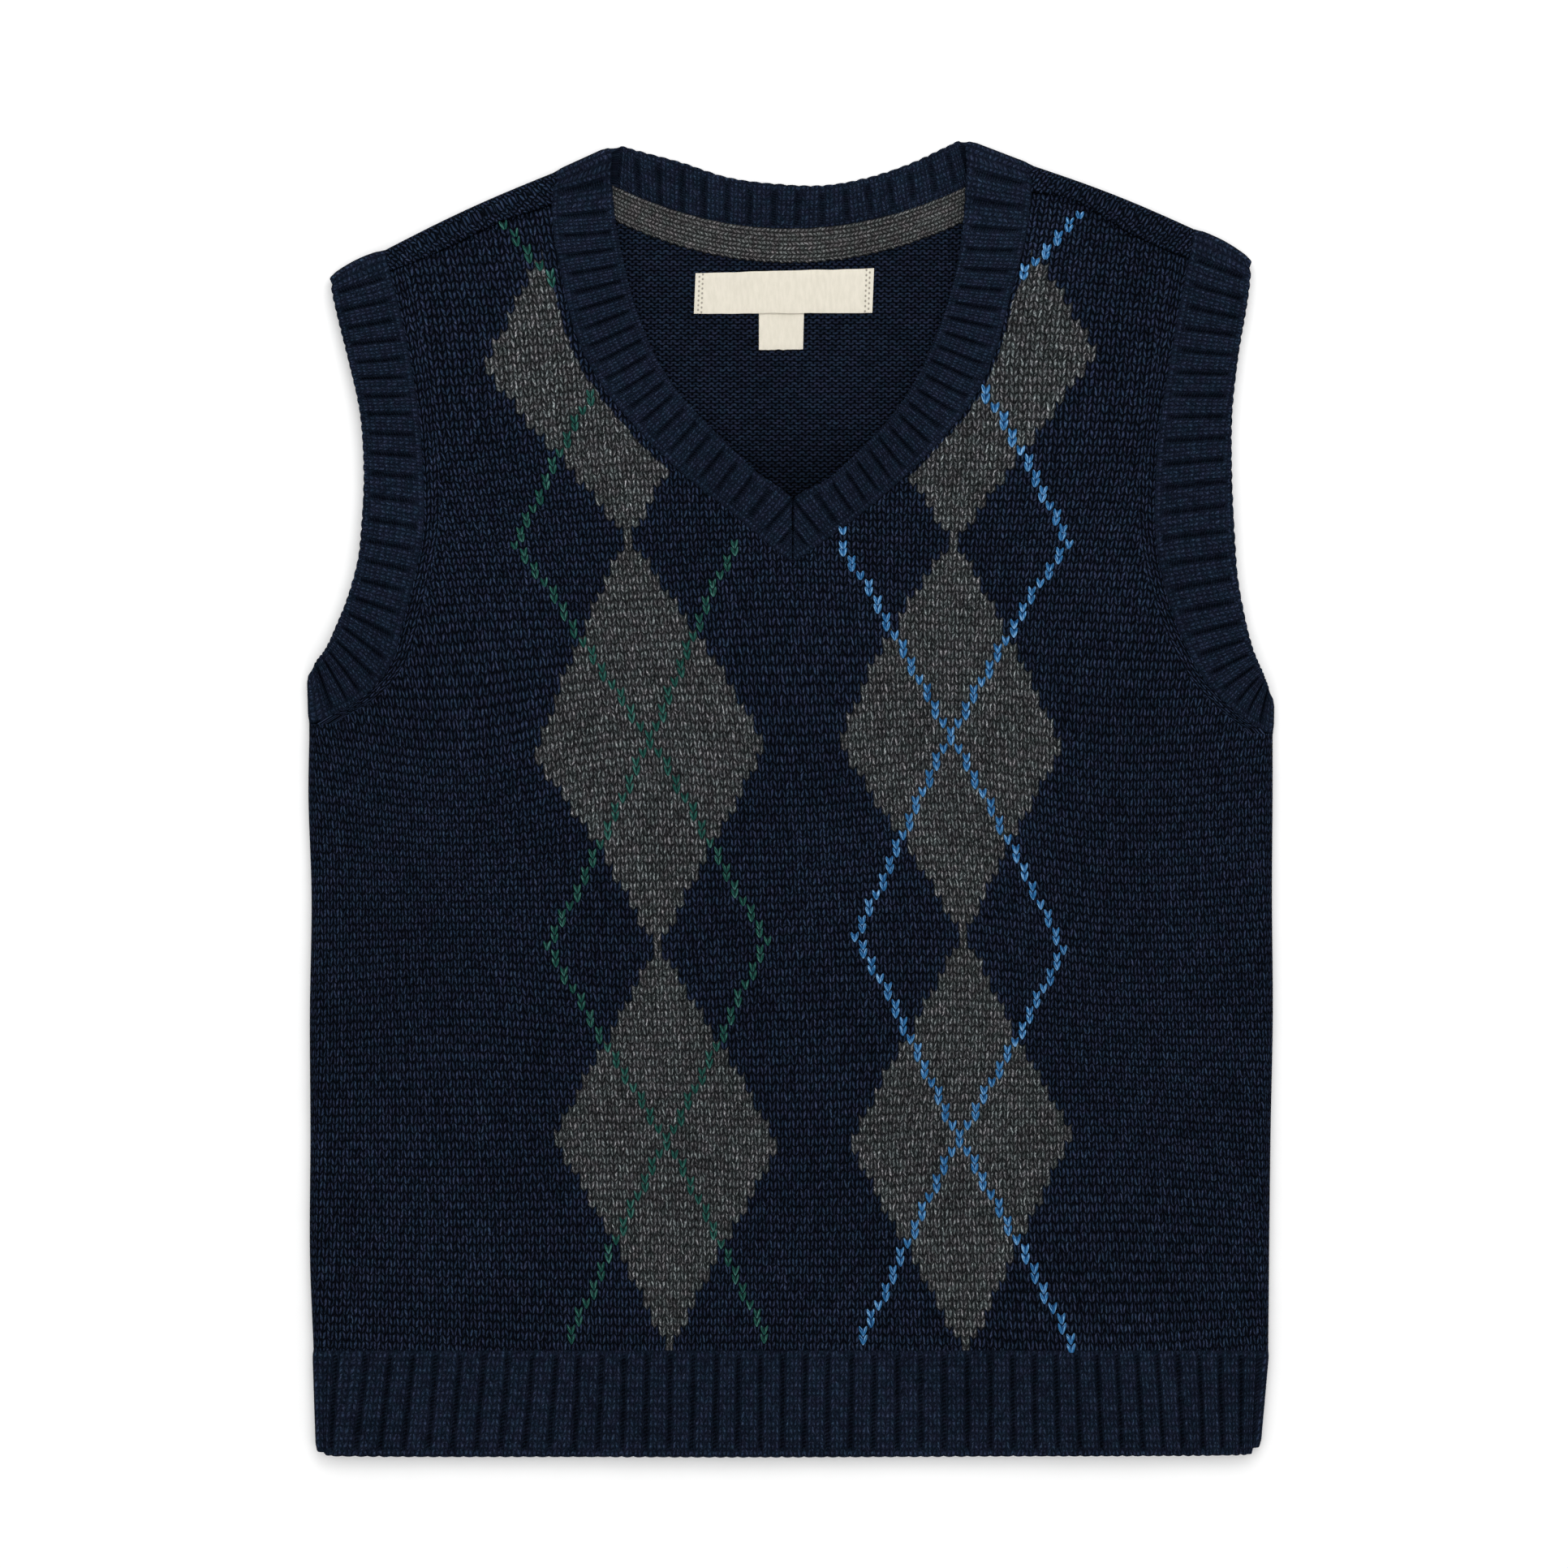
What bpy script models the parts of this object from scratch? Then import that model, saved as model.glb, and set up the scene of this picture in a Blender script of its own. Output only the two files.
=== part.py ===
"""A child's V-neck sweater vest, knitted, laid flat on its back with the front panel uppermost.

+Z is up, +Y runs from the hem to the neck and +X to the right as seen from above. The origin is
the middle of the ground that the vest covers. The back layer lies on z = 0, the front layer lies
on it, and cloth is a wall whose outer face is the garment's outside: it looks down on the back
layer, turns round the folds at the shoulders and sides, and looks up on the front layer.
"""

import math

import bmesh
import bpy
from mathutils import Vector

MM = 0.001

# Cloth and how its layers lie.
KNIT_WALL = 2.2 * MM  # plain knit of the two panels
RIB_WALL = 2.0 * MM  # ribbed bands, measured in a furrow
RIB_RISE = 1.0 * MM  # a rib above its furrow
BACK_RIB_RISE = 0.8 * MM  # the same on the inside of the back neck
SEAM_GAP = 0.3 * MM
FRONT_LEVEL = 2.9 * MM  # underside of the front layer over the lower body
CHEST_LIFT = 0.8 * MM  # how much higher it lies over the chest and shoulders
CHEST_FROM = -20 * MM
CHEST_TO = 80 * MM
SWELL = 0.25 * MM  # soft unevenness of the upper layer
SWELL_LENGTH = 150 * MM
EDGE_PINCH = 0.25  # share of the wall by which a bound-off edge thins

# Body below the armholes.
HEM_TOP = -193 * MM
HEM_RIBS = 41
CENTRE_X = 0.8 * MM  # the point of the V and the line below it
POINT_OF_V = 82 * MM
UNDERARM_CENTRE = 25 * MM  # where the row of knitting from the underarms meets the centre line

# Grey tape inside the back neck, and the two labels.
TAPE_WIDTH = 12.3 * MM
TAPE_LOW = 187.6 * MM
TAPE_RISE = 3.9  # per metre: how fast the tape curves up towards the shoulders
TAPE_FROM = -65 * MM
TAPE_TO = 63 * MM
TAPE_WALL = 0.7 * MM
LABEL_SIZE = (62.6 * MM, 15 * MM)
LABEL_CENTRE = (-2.1 * MM, 177.7 * MM)
LABEL_TURN = 0.9  # degrees
TAB_SIZE = (15.7 * MM, 15 * MM)
TAB_CENTRE = (-3.2 * MM, 165.1 * MM)
LABEL_WALL = 0.5 * MM

NAVY = (0.010, 0.014, 0.027)
NAVY_INSIDE = (0.008, 0.011, 0.021)
GREY = (0.105, 0.108, 0.115)
CREAM = (0.82, 0.76, 0.64)


def table(names, *rows):
    """A size table as named columns: a count first, then lengths given in millimetres."""
    columns = dict(zip(names.split(), zip(*rows)))
    count = names.split()[0]
    return {name: [v * (1 if name == count else MM) for v in column] for name, column in columns.items()}


# The bands, a row for each measured rib. seam is the edge sewn to the body, free the bound-off one.
BAND = "rib seam_x seam_y free_x free_y"
ARMHOLE_LEFT = table(
    BAND,  # from the fold at the shoulder to the fold at the side
    (0, -142.3, 192.3, -161.8, 182.6),
    (2, -138.0, 175.4, -159.2, 170.3),
    (5, -133.4, 154.6, -154.8, 152.6),
    (8, -130.3, 134.4, -150.9, 134.7),
    (11, -128.6, 112.0, -149.6, 114.2),
    (13, -128.6, 94.6, -150.2, 98.3),
    (15, -131.4, 79.2, -151.6, 84.1),
    (17, -135.1, 64.4, -155.1, 71.0),
    (19, -140.0, 47.4, -158.8, 61.6),
    (21, -149.6, 35.7, -162.6, 53.1),
    (23, -159.9, 29.4, -166.2, 48.0),
    (24, -168.8, 25.7, -169.3, 43.4),
)
ARMHOLE_RIGHT = table(
    BAND,
    (0, 141.7, 199.6, 161.9, 188.5),
    (2, 138.0, 181.1, 160.2, 174.2),
    (5, 133.7, 157.5, 157.0, 155.2),
    (8, 129.7, 133.3, 154.8, 133.9),
    (11, 127.7, 108.3, 154.8, 111.4),
    (13, 128.0, 90.6, 155.6, 94.0),
    (15, 131.4, 72.7, 156.8, 77.5),
    (17, 137.1, 56.8, 159.6, 62.2),
    (19, 144.5, 42.5, 162.4, 51.6),
    (21, 154.5, 31.7, 165.5, 44.4),
    (23, 163.9, 24.6, 167.2, 39.8),
    (24, 169.2, 22.3, 169.4, 35.2),
)
NECK_LEFT = table(
    BAND,  # from the mitre at the point of the V to the fold at the shoulder
    (0, 0.65, 82.4, 0.65, 84.4),
    (1, -5.0, 86.8, 0.65, 94.5),
    (2, -10.5, 91.5, 0.65, 104.5),
    (4, -21.6, 100.9, -11.9, 114.5),
    (7, -38.7, 114.5, -26.7, 128.7),
    (10, -54.1, 129.9, -39.3, 142.4),
    (13, -66.6, 145.5, -47.8, 156.0),
    (16, -75.4, 163.2, -54.1, 171.4),
    (19, -80.2, 182.8, -58.3, 186.8),
    (22, -83.6, 203.6, -61.7, 205.3),
    (24, -83.1, 219.5, -63.7, 228.3),
)
NECK_RIGHT = table(
    BAND,
    (0, 0.95, 82.4, 0.95, 84.4),
    (1, 6.5, 86.3, 0.95, 94.5),
    (2, 12.0, 90.3, 0.95, 104.5),
    (4, 22.6, 98.0, 13.4, 112.2),
    (7, 36.4, 109.5, 25.8, 123.8),
    (10, 50.1, 122.8, 36.4, 135.3),
    (13, 63.7, 139.5, 45.0, 148.9),
    (16, 72.0, 157.2, 51.5, 163.7),
    (19, 77.4, 177.4, 56.6, 179.1),
    (22, 82.8, 198.7, 60.3, 199.9),
    (25, 85.3, 221.8, 62.3, 230.6),
)
NECK_BACK = table(
    BAND,  # from the left shoulder to the right, on the lower layer
    (0, -61.5, 208.4, -59.7, 229.2),
    (1, -53.2, 204.4, -54.1, 227.5),
    (3, -38.4, 198.7, -38.1, 223.2),
    (5, -23.0, 195.3, -22.2, 218.1),
    (7, -6.5, 193.9, -5.7, 215.8),
    (9, 10.8, 194.2, 11.1, 215.2),
    (11, 29.6, 197.6, 26.5, 217.8),
    (13, 44.4, 202.7, 41.3, 222.6),
    (15, 60.0, 208.7, 54.3, 228.6),
    (16, 65.2, 211.5, 59.2, 231.0),
)
HEM = table(
    BAND,  # from the left side to the right
    (0, -167.4, -193.3, -166.2, -229.3),
    (1, -159.2, -193.3, -158.6, -230.8),
    (20, -3.9, -193.3, -5.4, -231.0),
    (40, 159.5, -193.3, 157.0, -230.5),
    (41, 167.7, -193.3, 164.5, -227.8),
)
SIDES = table(
    "row y left right",
    (0, -193.0, -167.4, 167.7),
    (1, -160.0, -168.7, 168.0),
    (2, -118.0, -168.5, 168.5),
    (3, -76.0, -168.7, 169.3),
    (4, -35.0, -168.1, 169.0),
    (5, 0.0, -169.2, 169.2),
    (6, 22.0, -168.9, 169.2),
)
# Where the shoulder seam, which lies forward of the fold, meets the two bands, in ribs.
SHOULDER_SEAM_LEFT = {"armhole": 0.85, "neck": 22.6}
SHOULDER_SEAM_RIGHT = {"armhole": 1.1, "neck": 23.8}
SHOULDER_BOW = 1.0 * MM
BAND_BOW = 1.1 * MM  # how far an armhole band's fold bulges between its two edges

# Shares of a rib's pitch at which its profile turns, and its height there: a narrow furrow.
RIB_PROFILE = ((0.0, 0.0), (0.16, 1.0), (0.84, 1.0))
FOLD_ANGLES = (90, 60, 30, 0, -30, -60, -90)
ROLL_ANGLES = (0, 30, 60, 90)
UNDER_ROLL_ANGLES = (0, -30, -60, -90)
# Ribs between a fold's line and the nearest section that lies flat.
NEAR_FOLD = 0.65
NEAR_SIDE = 0.8


def smooth(places, values, at):
    """The value at a place on a smooth curve through a table's values."""
    last = len(places) - 1
    at = min(max(at, places[0]), places[last])
    i = max(j for j in range(last) if places[j] <= at)
    slopes = []
    for j in (i, i + 1):
        low, high = max(j - 1, 0), min(j + 1, last)
        slopes.append((values[high] - values[low]) / (places[high] - places[low]))
    step = places[i + 1] - places[i]
    t = (at - places[i]) / step
    start = (2 * t**3 - 3 * t**2 + 1) * values[i] + (t**3 - 2 * t**2 + t) * step * slopes[0]
    end = (3 * t**2 - 2 * t**3) * values[i + 1] + (t**3 - t**2) * step * slopes[1]
    return start + end


def section(band, rib):
    """The seam point and the free point of a band at a rib, in plan."""
    seam_x, seam_y, free_x, free_y = (smooth(band["rib"], band[n], rib) for n in BAND.split()[1:])
    if band is NECK_LEFT:
        free_x = min(free_x, CENTRE_X - SEAM_GAP / 2)
    if band is NECK_RIGHT:
        free_x = max(free_x, CENTRE_X + SEAM_GAP / 2)
    return Vector((seam_x, seam_y)), Vector((free_x, free_y))


def beside(band, rib):
    """The edge of the panel at a rib of the band that is sewn to it, a seam's gap away."""
    seam, free = section(band, rib)
    return seam - (free - seam).normalized() * SEAM_GAP


def front_level(spot):
    """Height of the underside of the front layer."""
    t = min(max((spot.y - CHEST_FROM) / (CHEST_TO - CHEST_FROM), 0), 1)
    swell = math.sin(2 * math.pi * spot.x / SWELL_LENGTH) * math.cos(2 * math.pi * spot.y / SWELL_LENGTH)
    return FRONT_LEVEL + CHEST_LIFT * t * t * (3 - 2 * t) + SWELL * swell


def on_front(spot, wall, relief=0.0):
    """Outer and inner point of the upper layer."""
    level = front_level(spot)
    return spot.to_3d() + Vector((0, 0, level + wall + relief)), spot.to_3d() + Vector((0, 0, level))


def on_back(spot, wall, relief=0.0):
    """Outer and inner point of the lower layer, which lies flat on the ground."""
    return spot.to_3d(), spot.to_3d() + Vector((0, 0, wall + relief))


def on_fold(spot, out, wall, angle, split=0.0):
    """Outer and inner point on the way round a fold, from the front (90) to the back (-90).

    spot is on the fold's line, out points away from the garment, and split moves the fold's
    middle up or down by half a seam's gap where two pieces meet there.
    """
    level = front_level(spot)
    outer_radius = (level + wall) / 2 - abs(split)
    inner_radius = (level - wall) / 2 - abs(split)
    turn = math.radians(angle)
    middle = spot - out * outer_radius
    pair = []
    for radius in (outer_radius, inner_radius):
        point = (middle + out * radius * math.cos(turn)).to_3d()
        point.z = (level + wall) / 2 + split + radius * math.sin(turn)
        pair.append(point)
    return tuple(pair)


def pinched(pair, share):
    """A wall's pair of points with the outer face drawn in, as at a rounded edge."""
    outer, inner = pair
    return outer.lerp(inner, share), inner


class Wall:
    """One piece of cloth: an open sheet of outer points, each with its inner one, then closed."""

    def __init__(self, name, colour, roughness=0.95):
        self.name, self.colour, self.roughness = name, colour, roughness
        self.bm = bmesh.new()
        self.made = {}
        self.inner = {}

    def vert(self, pair):
        key = tuple(round(c, 7) for c in (*pair[0], *pair[1]))
        if key not in self.made:
            self.made[key] = self.bm.verts.new(pair[0])
            self.inner[self.made[key]] = pair[1]
        return self.made[key]

    def grid(self, rows):
        """Faces between rows of points that have the same length."""
        verts = [[self.vert(pair) for pair in row] for row in rows]
        for low, high in zip(verts, verts[1:]):
            for i in range(len(low) - 1):
                self.bm.faces.new((low[i], low[i + 1], high[i + 1], high[i]))

    def plate(self, loop):
        """One flat face with many corners."""
        self.bm.faces.new([self.vert(pair) for pair in loop])

    def close(self):
        """Add the inner face and the rim, and make the object."""
        twin = {vert: self.bm.verts.new(point) for vert, point in self.inner.items()}
        sheet = list(self.bm.faces)
        rim = [edge for edge in self.bm.edges if edge.is_boundary]
        rim_ends = [(e.link_loops[0].vert, e.link_loops[0].link_loop_next.vert) for e in rim]
        for face in sheet:
            self.bm.faces.new([twin[v] for v in reversed(face.verts)])
        for a, b in rim_ends:
            self.bm.faces.new((b, a, twin[a], twin[b]))
        bmesh.ops.recalc_face_normals(self.bm, faces=self.bm.faces)
        mesh = bpy.data.meshes.new(self.name)
        self.bm.to_mesh(mesh)
        self.bm.free()
        mesh.shade_smooth()
        mesh.set_sharp_from_angle(angle=math.radians(35))
        material = bpy.data.materials.new(self.name)
        material.use_nodes = True
        surface = material.node_tree.nodes["Principled BSDF"]
        surface.inputs["Base Color"].default_value = (*self.colour, 1)
        surface.inputs["Roughness"].default_value = self.roughness
        surface.inputs["Metallic"].default_value = 0.0
        mesh.materials.append(material)
        piece = bpy.data.objects.new(self.name, mesh)
        bpy.context.scene.collection.objects.link(piece)


def steps(start, end, count):
    """count + 1 even steps from start to end."""
    return [start + (end - start) * i / count for i in range(count + 1)]


def rib_turns(start, end):
    """Each place between two rib counts where the ribbed profile turns, with its height."""
    turns = []
    for rib in range(math.floor(start), math.ceil(end) + 1):
        turns += [(rib + share, height) for share, height in RIB_PROFILE]
    inside = [turn for turn in turns if start < turn[0] < end]
    return [(start, 0.0), *inside, (end, 0.0)]


# A band's points across its width: share of the width, and share of the rib's height there.
ACROSS = ((0.0, 0.3), (0.12, 1.0), (0.55, 1.0), (1.0, 0.9))
ACROSS_NECK = ((0.0, 0.3), (0.12, 1.0), (0.94, 1.0), (1.0, 0.8))
ACROSS_BACK_NECK = ((0.0, 0.0), (0.31, 0.0), (0.40, 1.0), (1.0, 0.8))


def front_row(band, rib, height, across=ACROSS):
    seam, free = section(band, rib)
    row = [on_front(seam.lerp(free, s), RIB_WALL, RIB_RISE * height * h) for s, h in across]
    row[-1] = pinched(row[-1], EDGE_PINCH)
    return row


def back_row(band, rib, height=0.0, across=ACROSS):
    seam, free = section(band, rib)
    return [on_back(seam.lerp(free, s), RIB_WALL, BACK_RIB_RISE * height * h) for s, h in across]


def fold_rows(band, rib, out, angles, split=0.0, across=ACROSS, bow=0.0):
    """A band's rows round a fold whose line is its section at that rib, bowed outwards."""
    seam, free = section(band, rib)
    line = [seam.lerp(free, s) + out * bow * math.sin(math.pi * s) for s, _ in across]
    rows = []
    for angle in angles:
        row = [on_fold(spot, out, RIB_WALL, angle, split) for spot in line]
        row[-1] = pinched(row[-1], EDGE_PINCH * (1 + math.sin(math.radians(angle))) / 2)
        rows.append(row)
    return rows


def shoulder_out(armhole, neck):
    """The way that the fold at a shoulder faces, in plan."""
    low = section(armhole, 0)[0]
    high = section(neck, neck["rib"][-1])[0]
    along = (high - low).normalized()
    out = Vector((-along.y, along.x))
    return out if out.y > 0 else -out


def armhole_band(name, band, neck):
    """Ribbed strip round an armhole: shoulder fold, front and back, ends meeting under the arm."""
    side = Vector((math.copysign(1, band["seam_x"][0]), 0))
    out = shoulder_out(band, neck)
    last = band["rib"][-1]
    near_side = last - NEAR_SIDE
    half_gap = SEAM_GAP / 2
    rows = fold_rows(band, last, side, ROLL_ANGLES, half_gap)
    rows += [front_row(band, rib, height) for rib, height in reversed(rib_turns(NEAR_FOLD, near_side))]
    rows += fold_rows(band, 0, out, FOLD_ANGLES, bow=BAND_BOW)
    rows += [back_row(band, rib) for rib in steps(NEAR_FOLD, near_side, 24)]
    rows += [row for row in reversed(fold_rows(band, last, side, UNDER_ROLL_ANGLES, -half_gap))]
    wall = Wall(name, NAVY)
    wall.grid(rows)
    wall.close()


def neck_band():
    """Ribbed strip from the mitre up one side, over the shoulder, along the back neck and down."""
    left_fold, right_fold = NECK_LEFT["rib"][-1], NECK_RIGHT["rib"][-1]
    left_out = shoulder_out(ARMHOLE_LEFT, NECK_LEFT)
    right_out = shoulder_out(ARMHOLE_RIGHT, NECK_RIGHT)
    left_turns = rib_turns(0, left_fold - NEAR_FOLD)
    back_turns = rib_turns(0, NECK_BACK["rib"][-1])
    right_turns = rib_turns(0, right_fold - NEAR_FOLD)
    rows = [front_row(NECK_LEFT, rib, height, ACROSS_NECK) for rib, height in left_turns]
    rows += fold_rows(NECK_LEFT, left_fold, left_out, FOLD_ANGLES, across=ACROSS_NECK)
    rows += [back_row(NECK_BACK, rib, height, ACROSS_BACK_NECK) for rib, height in back_turns]
    rows += fold_rows(NECK_RIGHT, right_fold, right_out, FOLD_ANGLES[::-1], across=ACROSS_NECK)
    rows += [front_row(NECK_RIGHT, rib, height, ACROSS_NECK) for rib, height in reversed(right_turns)]
    wall = Wall("neck_band", NAVY)
    wall.grid(rows)
    wall.close()


def hem_ribs():
    """The welt's two halves, which meet at the sides with a seam's gap."""
    left, right, last = Vector((-1, 0)), Vector((1, 0)), HEM["rib"][-1]
    half_gap = SEAM_GAP / 2
    rows = fold_rows(HEM, 0, left, ROLL_ANGLES, half_gap)
    rows += [front_row(HEM, rib, height) for rib, height in rib_turns(NEAR_FOLD, last - NEAR_FOLD)]
    rows += fold_rows(HEM, last, right, ROLL_ANGLES[::-1], half_gap)
    front = Wall("hem_rib_front", NAVY)
    front.grid(rows)
    front.close()
    rows = fold_rows(HEM, 0, left, UNDER_ROLL_ANGLES, -half_gap)
    rows += [back_row(HEM, rib) for rib in steps(NEAR_FOLD, last - NEAR_FOLD, 20)]
    rows += fold_rows(HEM, last, right, UNDER_ROLL_ANGLES[::-1], -half_gap)
    back = Wall("hem_rib_back", NAVY)
    back.grid(rows)
    back.close()


def side_spot(side, y):
    """A point on the fold at the side of the body."""
    return Vector((smooth(SIDES["y"], SIDES[side], y), y))


def shoulder_seam(armhole, neck, ribs, share, shift):
    """A point on the forward shoulder seam, from the armhole to the neck, shifted across it."""
    low, high = beside(armhole, ribs["armhole"]), beside(neck, ribs["neck"])
    out = shoulder_out(armhole, neck)
    return low.lerp(high, share) + out * (SHOULDER_BOW * math.sin(math.pi * share) + shift)


BODY_ROWS = 6
ARMHOLE_ROWS = 30
ROWS_TO_POINT = 9  # of the armhole's rows, those whose other end is still on the centre line
SHARES = steps(0, 1, 8)


def front_half(wall, side, armhole, neck, seam_ribs):
    """Half of the front panel, from the side and armhole to the centre line and the neck."""
    out = Vector((-1, 0)) if side == "left" else Vector((1, 0))
    underarm = beside(armhole, armhole["rib"][-1]).y
    rolls, rows = [], []
    for t in steps(0, 1, BODY_ROWS):
        edge = side_spot(side, HEM_TOP + (underarm - HEM_TOP) * t)
        rolls.append([on_fold(edge, out, KNIT_WALL, angle, SEAM_GAP / 2) for angle in ROLL_ANGLES])
        start = rolls[-1][-1][0].to_2d()
        end = Vector((CENTRE_X, HEM_TOP + (UNDERARM_CENTRE - HEM_TOP) * t))
        row = [on_front(start.lerp(end, share), KNIT_WALL) for share in SHARES[1:]]
        rows.append([rolls[-1][-1], *row])
    wall.grid(rolls)
    first_rib = armhole["rib"][-1] - NEAR_SIDE
    for i, rib in enumerate(steps(first_rib, seam_ribs["armhole"], ARMHOLE_ROWS)[:-1]):
        start = beside(armhole, rib)
        if i < ROWS_TO_POINT:
            rise = (POINT_OF_V - UNDERARM_CENTRE) * (i + 1) / ROWS_TO_POINT
            end = Vector((CENTRE_X, UNDERARM_CENTRE + rise))
        else:
            share = (i + 1 - ROWS_TO_POINT) / (ARMHOLE_ROWS + 1 - ROWS_TO_POINT)
            end = beside(neck, seam_ribs["neck"] * share)
        rows.append([on_front(start.lerp(end, share), KNIT_WALL) for share in SHARES])
    top = [shoulder_seam(armhole, neck, seam_ribs, share, -SEAM_GAP) for share in SHARES]
    rows.append([on_front(spot, KNIT_WALL) for spot in top])
    wall.grid(rows)


def front_panel():
    wall = Wall("front_panel", NAVY)
    front_half(wall, "left", ARMHOLE_LEFT, NECK_LEFT, SHOULDER_SEAM_LEFT)
    front_half(wall, "right", ARMHOLE_RIGHT, NECK_RIGHT, SHOULDER_SEAM_RIGHT)
    wall.close()


def back_side(wall, side, armhole, neck, seam_ribs):
    """The side fold and the shoulder strip of the back; gives the flat part's outline there."""
    out = Vector((-1, 0)) if side == "left" else Vector((1, 0))
    last, last_neck = armhole["rib"][-1], neck["rib"][-1]
    rolls = []
    for y in steps(HEM_TOP, beside(armhole, last).y, BODY_ROWS):
        edge = side_spot(side, y)
        rolls.append([on_fold(edge, out, KNIT_WALL, angle, -SEAM_GAP / 2) for angle in UNDER_ROLL_ANGLES])
    wall.grid(rolls)
    outline = [row[-1] for row in rolls]
    outline += [on_back(beside(armhole, rib), KNIT_WALL) for rib in steps(last - NEAR_SIDE, NEAR_FOLD, 30)]
    turn_out = shoulder_out(armhole, neck)
    flat_ribs = {"armhole": NEAR_FOLD, "neck": last_neck - NEAR_FOLD}
    low, high = beside(armhole, 0), beside(neck, last_neck)
    fold = [low.lerp(high, s) + turn_out * SHOULDER_BOW * math.sin(math.pi * s) for s in SHARES]
    strip = [[on_fold(spot, turn_out, KNIT_WALL, angle) for spot in fold] for angle in FOLD_ANGLES[::-1]]
    for ribs in (flat_ribs, seam_ribs):
        edge = [shoulder_seam(armhole, neck, ribs, s, 0.0) for s in SHARES]
        strip.append([on_front(spot, KNIT_WALL) for spot in edge])
    wall.grid(strip)
    return outline + strip[0]


def back_panel():
    """The back, which wraps over each shoulder to the forward seam."""
    wall = Wall("back_panel", NAVY_INSIDE)
    left = back_side(wall, "left", ARMHOLE_LEFT, NECK_LEFT, SHOULDER_SEAM_LEFT)
    right = back_side(wall, "right", ARMHOLE_RIGHT, NECK_RIGHT, SHOULDER_SEAM_RIGHT)
    neckline = [on_back(beside(NECK_BACK, rib), KNIT_WALL) for rib in steps(0, NECK_BACK["rib"][-1], 24)]
    wall.plate(left + neckline + right[::-1])
    wall.close()


def back_neck_tape():
    """Tape sewn over the seam of the neck band inside the back neck."""
    rows = []
    for x in steps(TAPE_FROM, TAPE_TO, 16):
        y = TAPE_LOW + TAPE_RISE * x * x
        low = KNIT_WALL + SEAM_GAP
        row = []
        for share, thin in ((0.0, 0.3), (0.06, 0.0), (0.94, 0.0), (1.0, 0.3)):
            top = Vector((x, y + TAPE_WIDTH * share, low + TAPE_WALL))
            row.append(pinched((top, Vector((top.x, top.y, low))), thin))
        rows.append(row)
    wall = Wall("neck_tape", GREY)
    wall.grid(rows)
    wall.close()


def label(name, size, centre, turn, level):
    """A bare woven label. level(x) is the height of its underside along its length."""
    rows = []
    for i in steps(-0.5, 0.5, 12):
        row = []
        for j in (-0.5, 0.5):
            flat = Vector((size[0] * i, size[1] * j, 0))
            angle = math.radians(turn)
            x = centre[0] + flat.x * math.cos(angle) - flat.y * math.sin(angle)
            y = centre[1] + flat.x * math.sin(angle) + flat.y * math.cos(angle)
            under = Vector((x, y, level(x)))
            row.append((under + Vector((0, 0, LABEL_WALL)), under))
        rows.append(row)
    wall = Wall(name, CREAM, roughness=0.7)
    wall.grid(rows)
    wall.close()


def labels():
    """The long label lies over the top of the small tab, and dips to the back on both sides."""
    low = KNIT_WALL + SEAM_GAP

    def over_tab(x):
        away = (abs(x - TAB_CENTRE[0]) - TAB_SIZE[0] / 2 - 1.5 * MM) / (9 * MM)
        t = min(max(away, 0), 1)
        return low + (LABEL_WALL + SEAM_GAP) * (1 - t * t * (3 - 2 * t))

    label("label", LABEL_SIZE, LABEL_CENTRE, LABEL_TURN, over_tab)
    label("size_tab", TAB_SIZE, TAB_CENTRE, 0.0, lambda x: low)


for leftover in list(bpy.data.objects):
    bpy.data.objects.remove(leftover)
back_panel()
front_panel()
hem_ribs()
neck_band()
armhole_band("armhole_band_left", ARMHOLE_LEFT, NECK_LEFT)
armhole_band("armhole_band_right", ARMHOLE_RIGHT, NECK_RIGHT)
back_neck_tape()
labels()
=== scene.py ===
import math

import bmesh
import bpy
from mathutils import Matrix, Vector, noise


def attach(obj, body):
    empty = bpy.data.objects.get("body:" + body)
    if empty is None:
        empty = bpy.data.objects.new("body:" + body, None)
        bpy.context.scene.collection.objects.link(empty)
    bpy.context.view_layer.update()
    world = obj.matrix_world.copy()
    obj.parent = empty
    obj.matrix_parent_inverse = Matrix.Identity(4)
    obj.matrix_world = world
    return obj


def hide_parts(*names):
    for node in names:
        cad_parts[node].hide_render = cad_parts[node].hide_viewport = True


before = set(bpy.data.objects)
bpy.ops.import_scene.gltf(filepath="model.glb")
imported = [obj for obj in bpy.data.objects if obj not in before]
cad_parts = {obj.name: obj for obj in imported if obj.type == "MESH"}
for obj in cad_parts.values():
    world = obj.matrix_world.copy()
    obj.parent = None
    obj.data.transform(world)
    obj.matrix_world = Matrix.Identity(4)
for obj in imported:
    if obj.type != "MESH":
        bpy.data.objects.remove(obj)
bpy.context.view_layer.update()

# ---------------------------------------------------------------------------------------------
# The back is one panel of plain navy knit. It lies face down, so that its purl side shows inside
# the neck, and it wraps over each shoulder to a seam on the front. Its edges are sewn to the
# bands, whose lines are therefore laid out here with it.
MM = 0.001
KNIT_WALL = 2.2 * MM
FRONT_LEVEL = 2.9 * MM  # underside of the front layer over the lower body
CHEST_LIFT = 0.8 * MM  # and how much higher it lies over the chest
CHEST_FROM, CHEST_TO = -20 * MM, 80 * MM
SWELL, SWELL_LENGTH = 0.25 * MM, 150 * MM  # long soft waves of the front layer
HEM_TOP = -193.5 * MM
CENTRE_X = 0.8 * MM
SEWN = 0.3 * MM  # how far a panel's edge reaches under the band sewn to it


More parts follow.
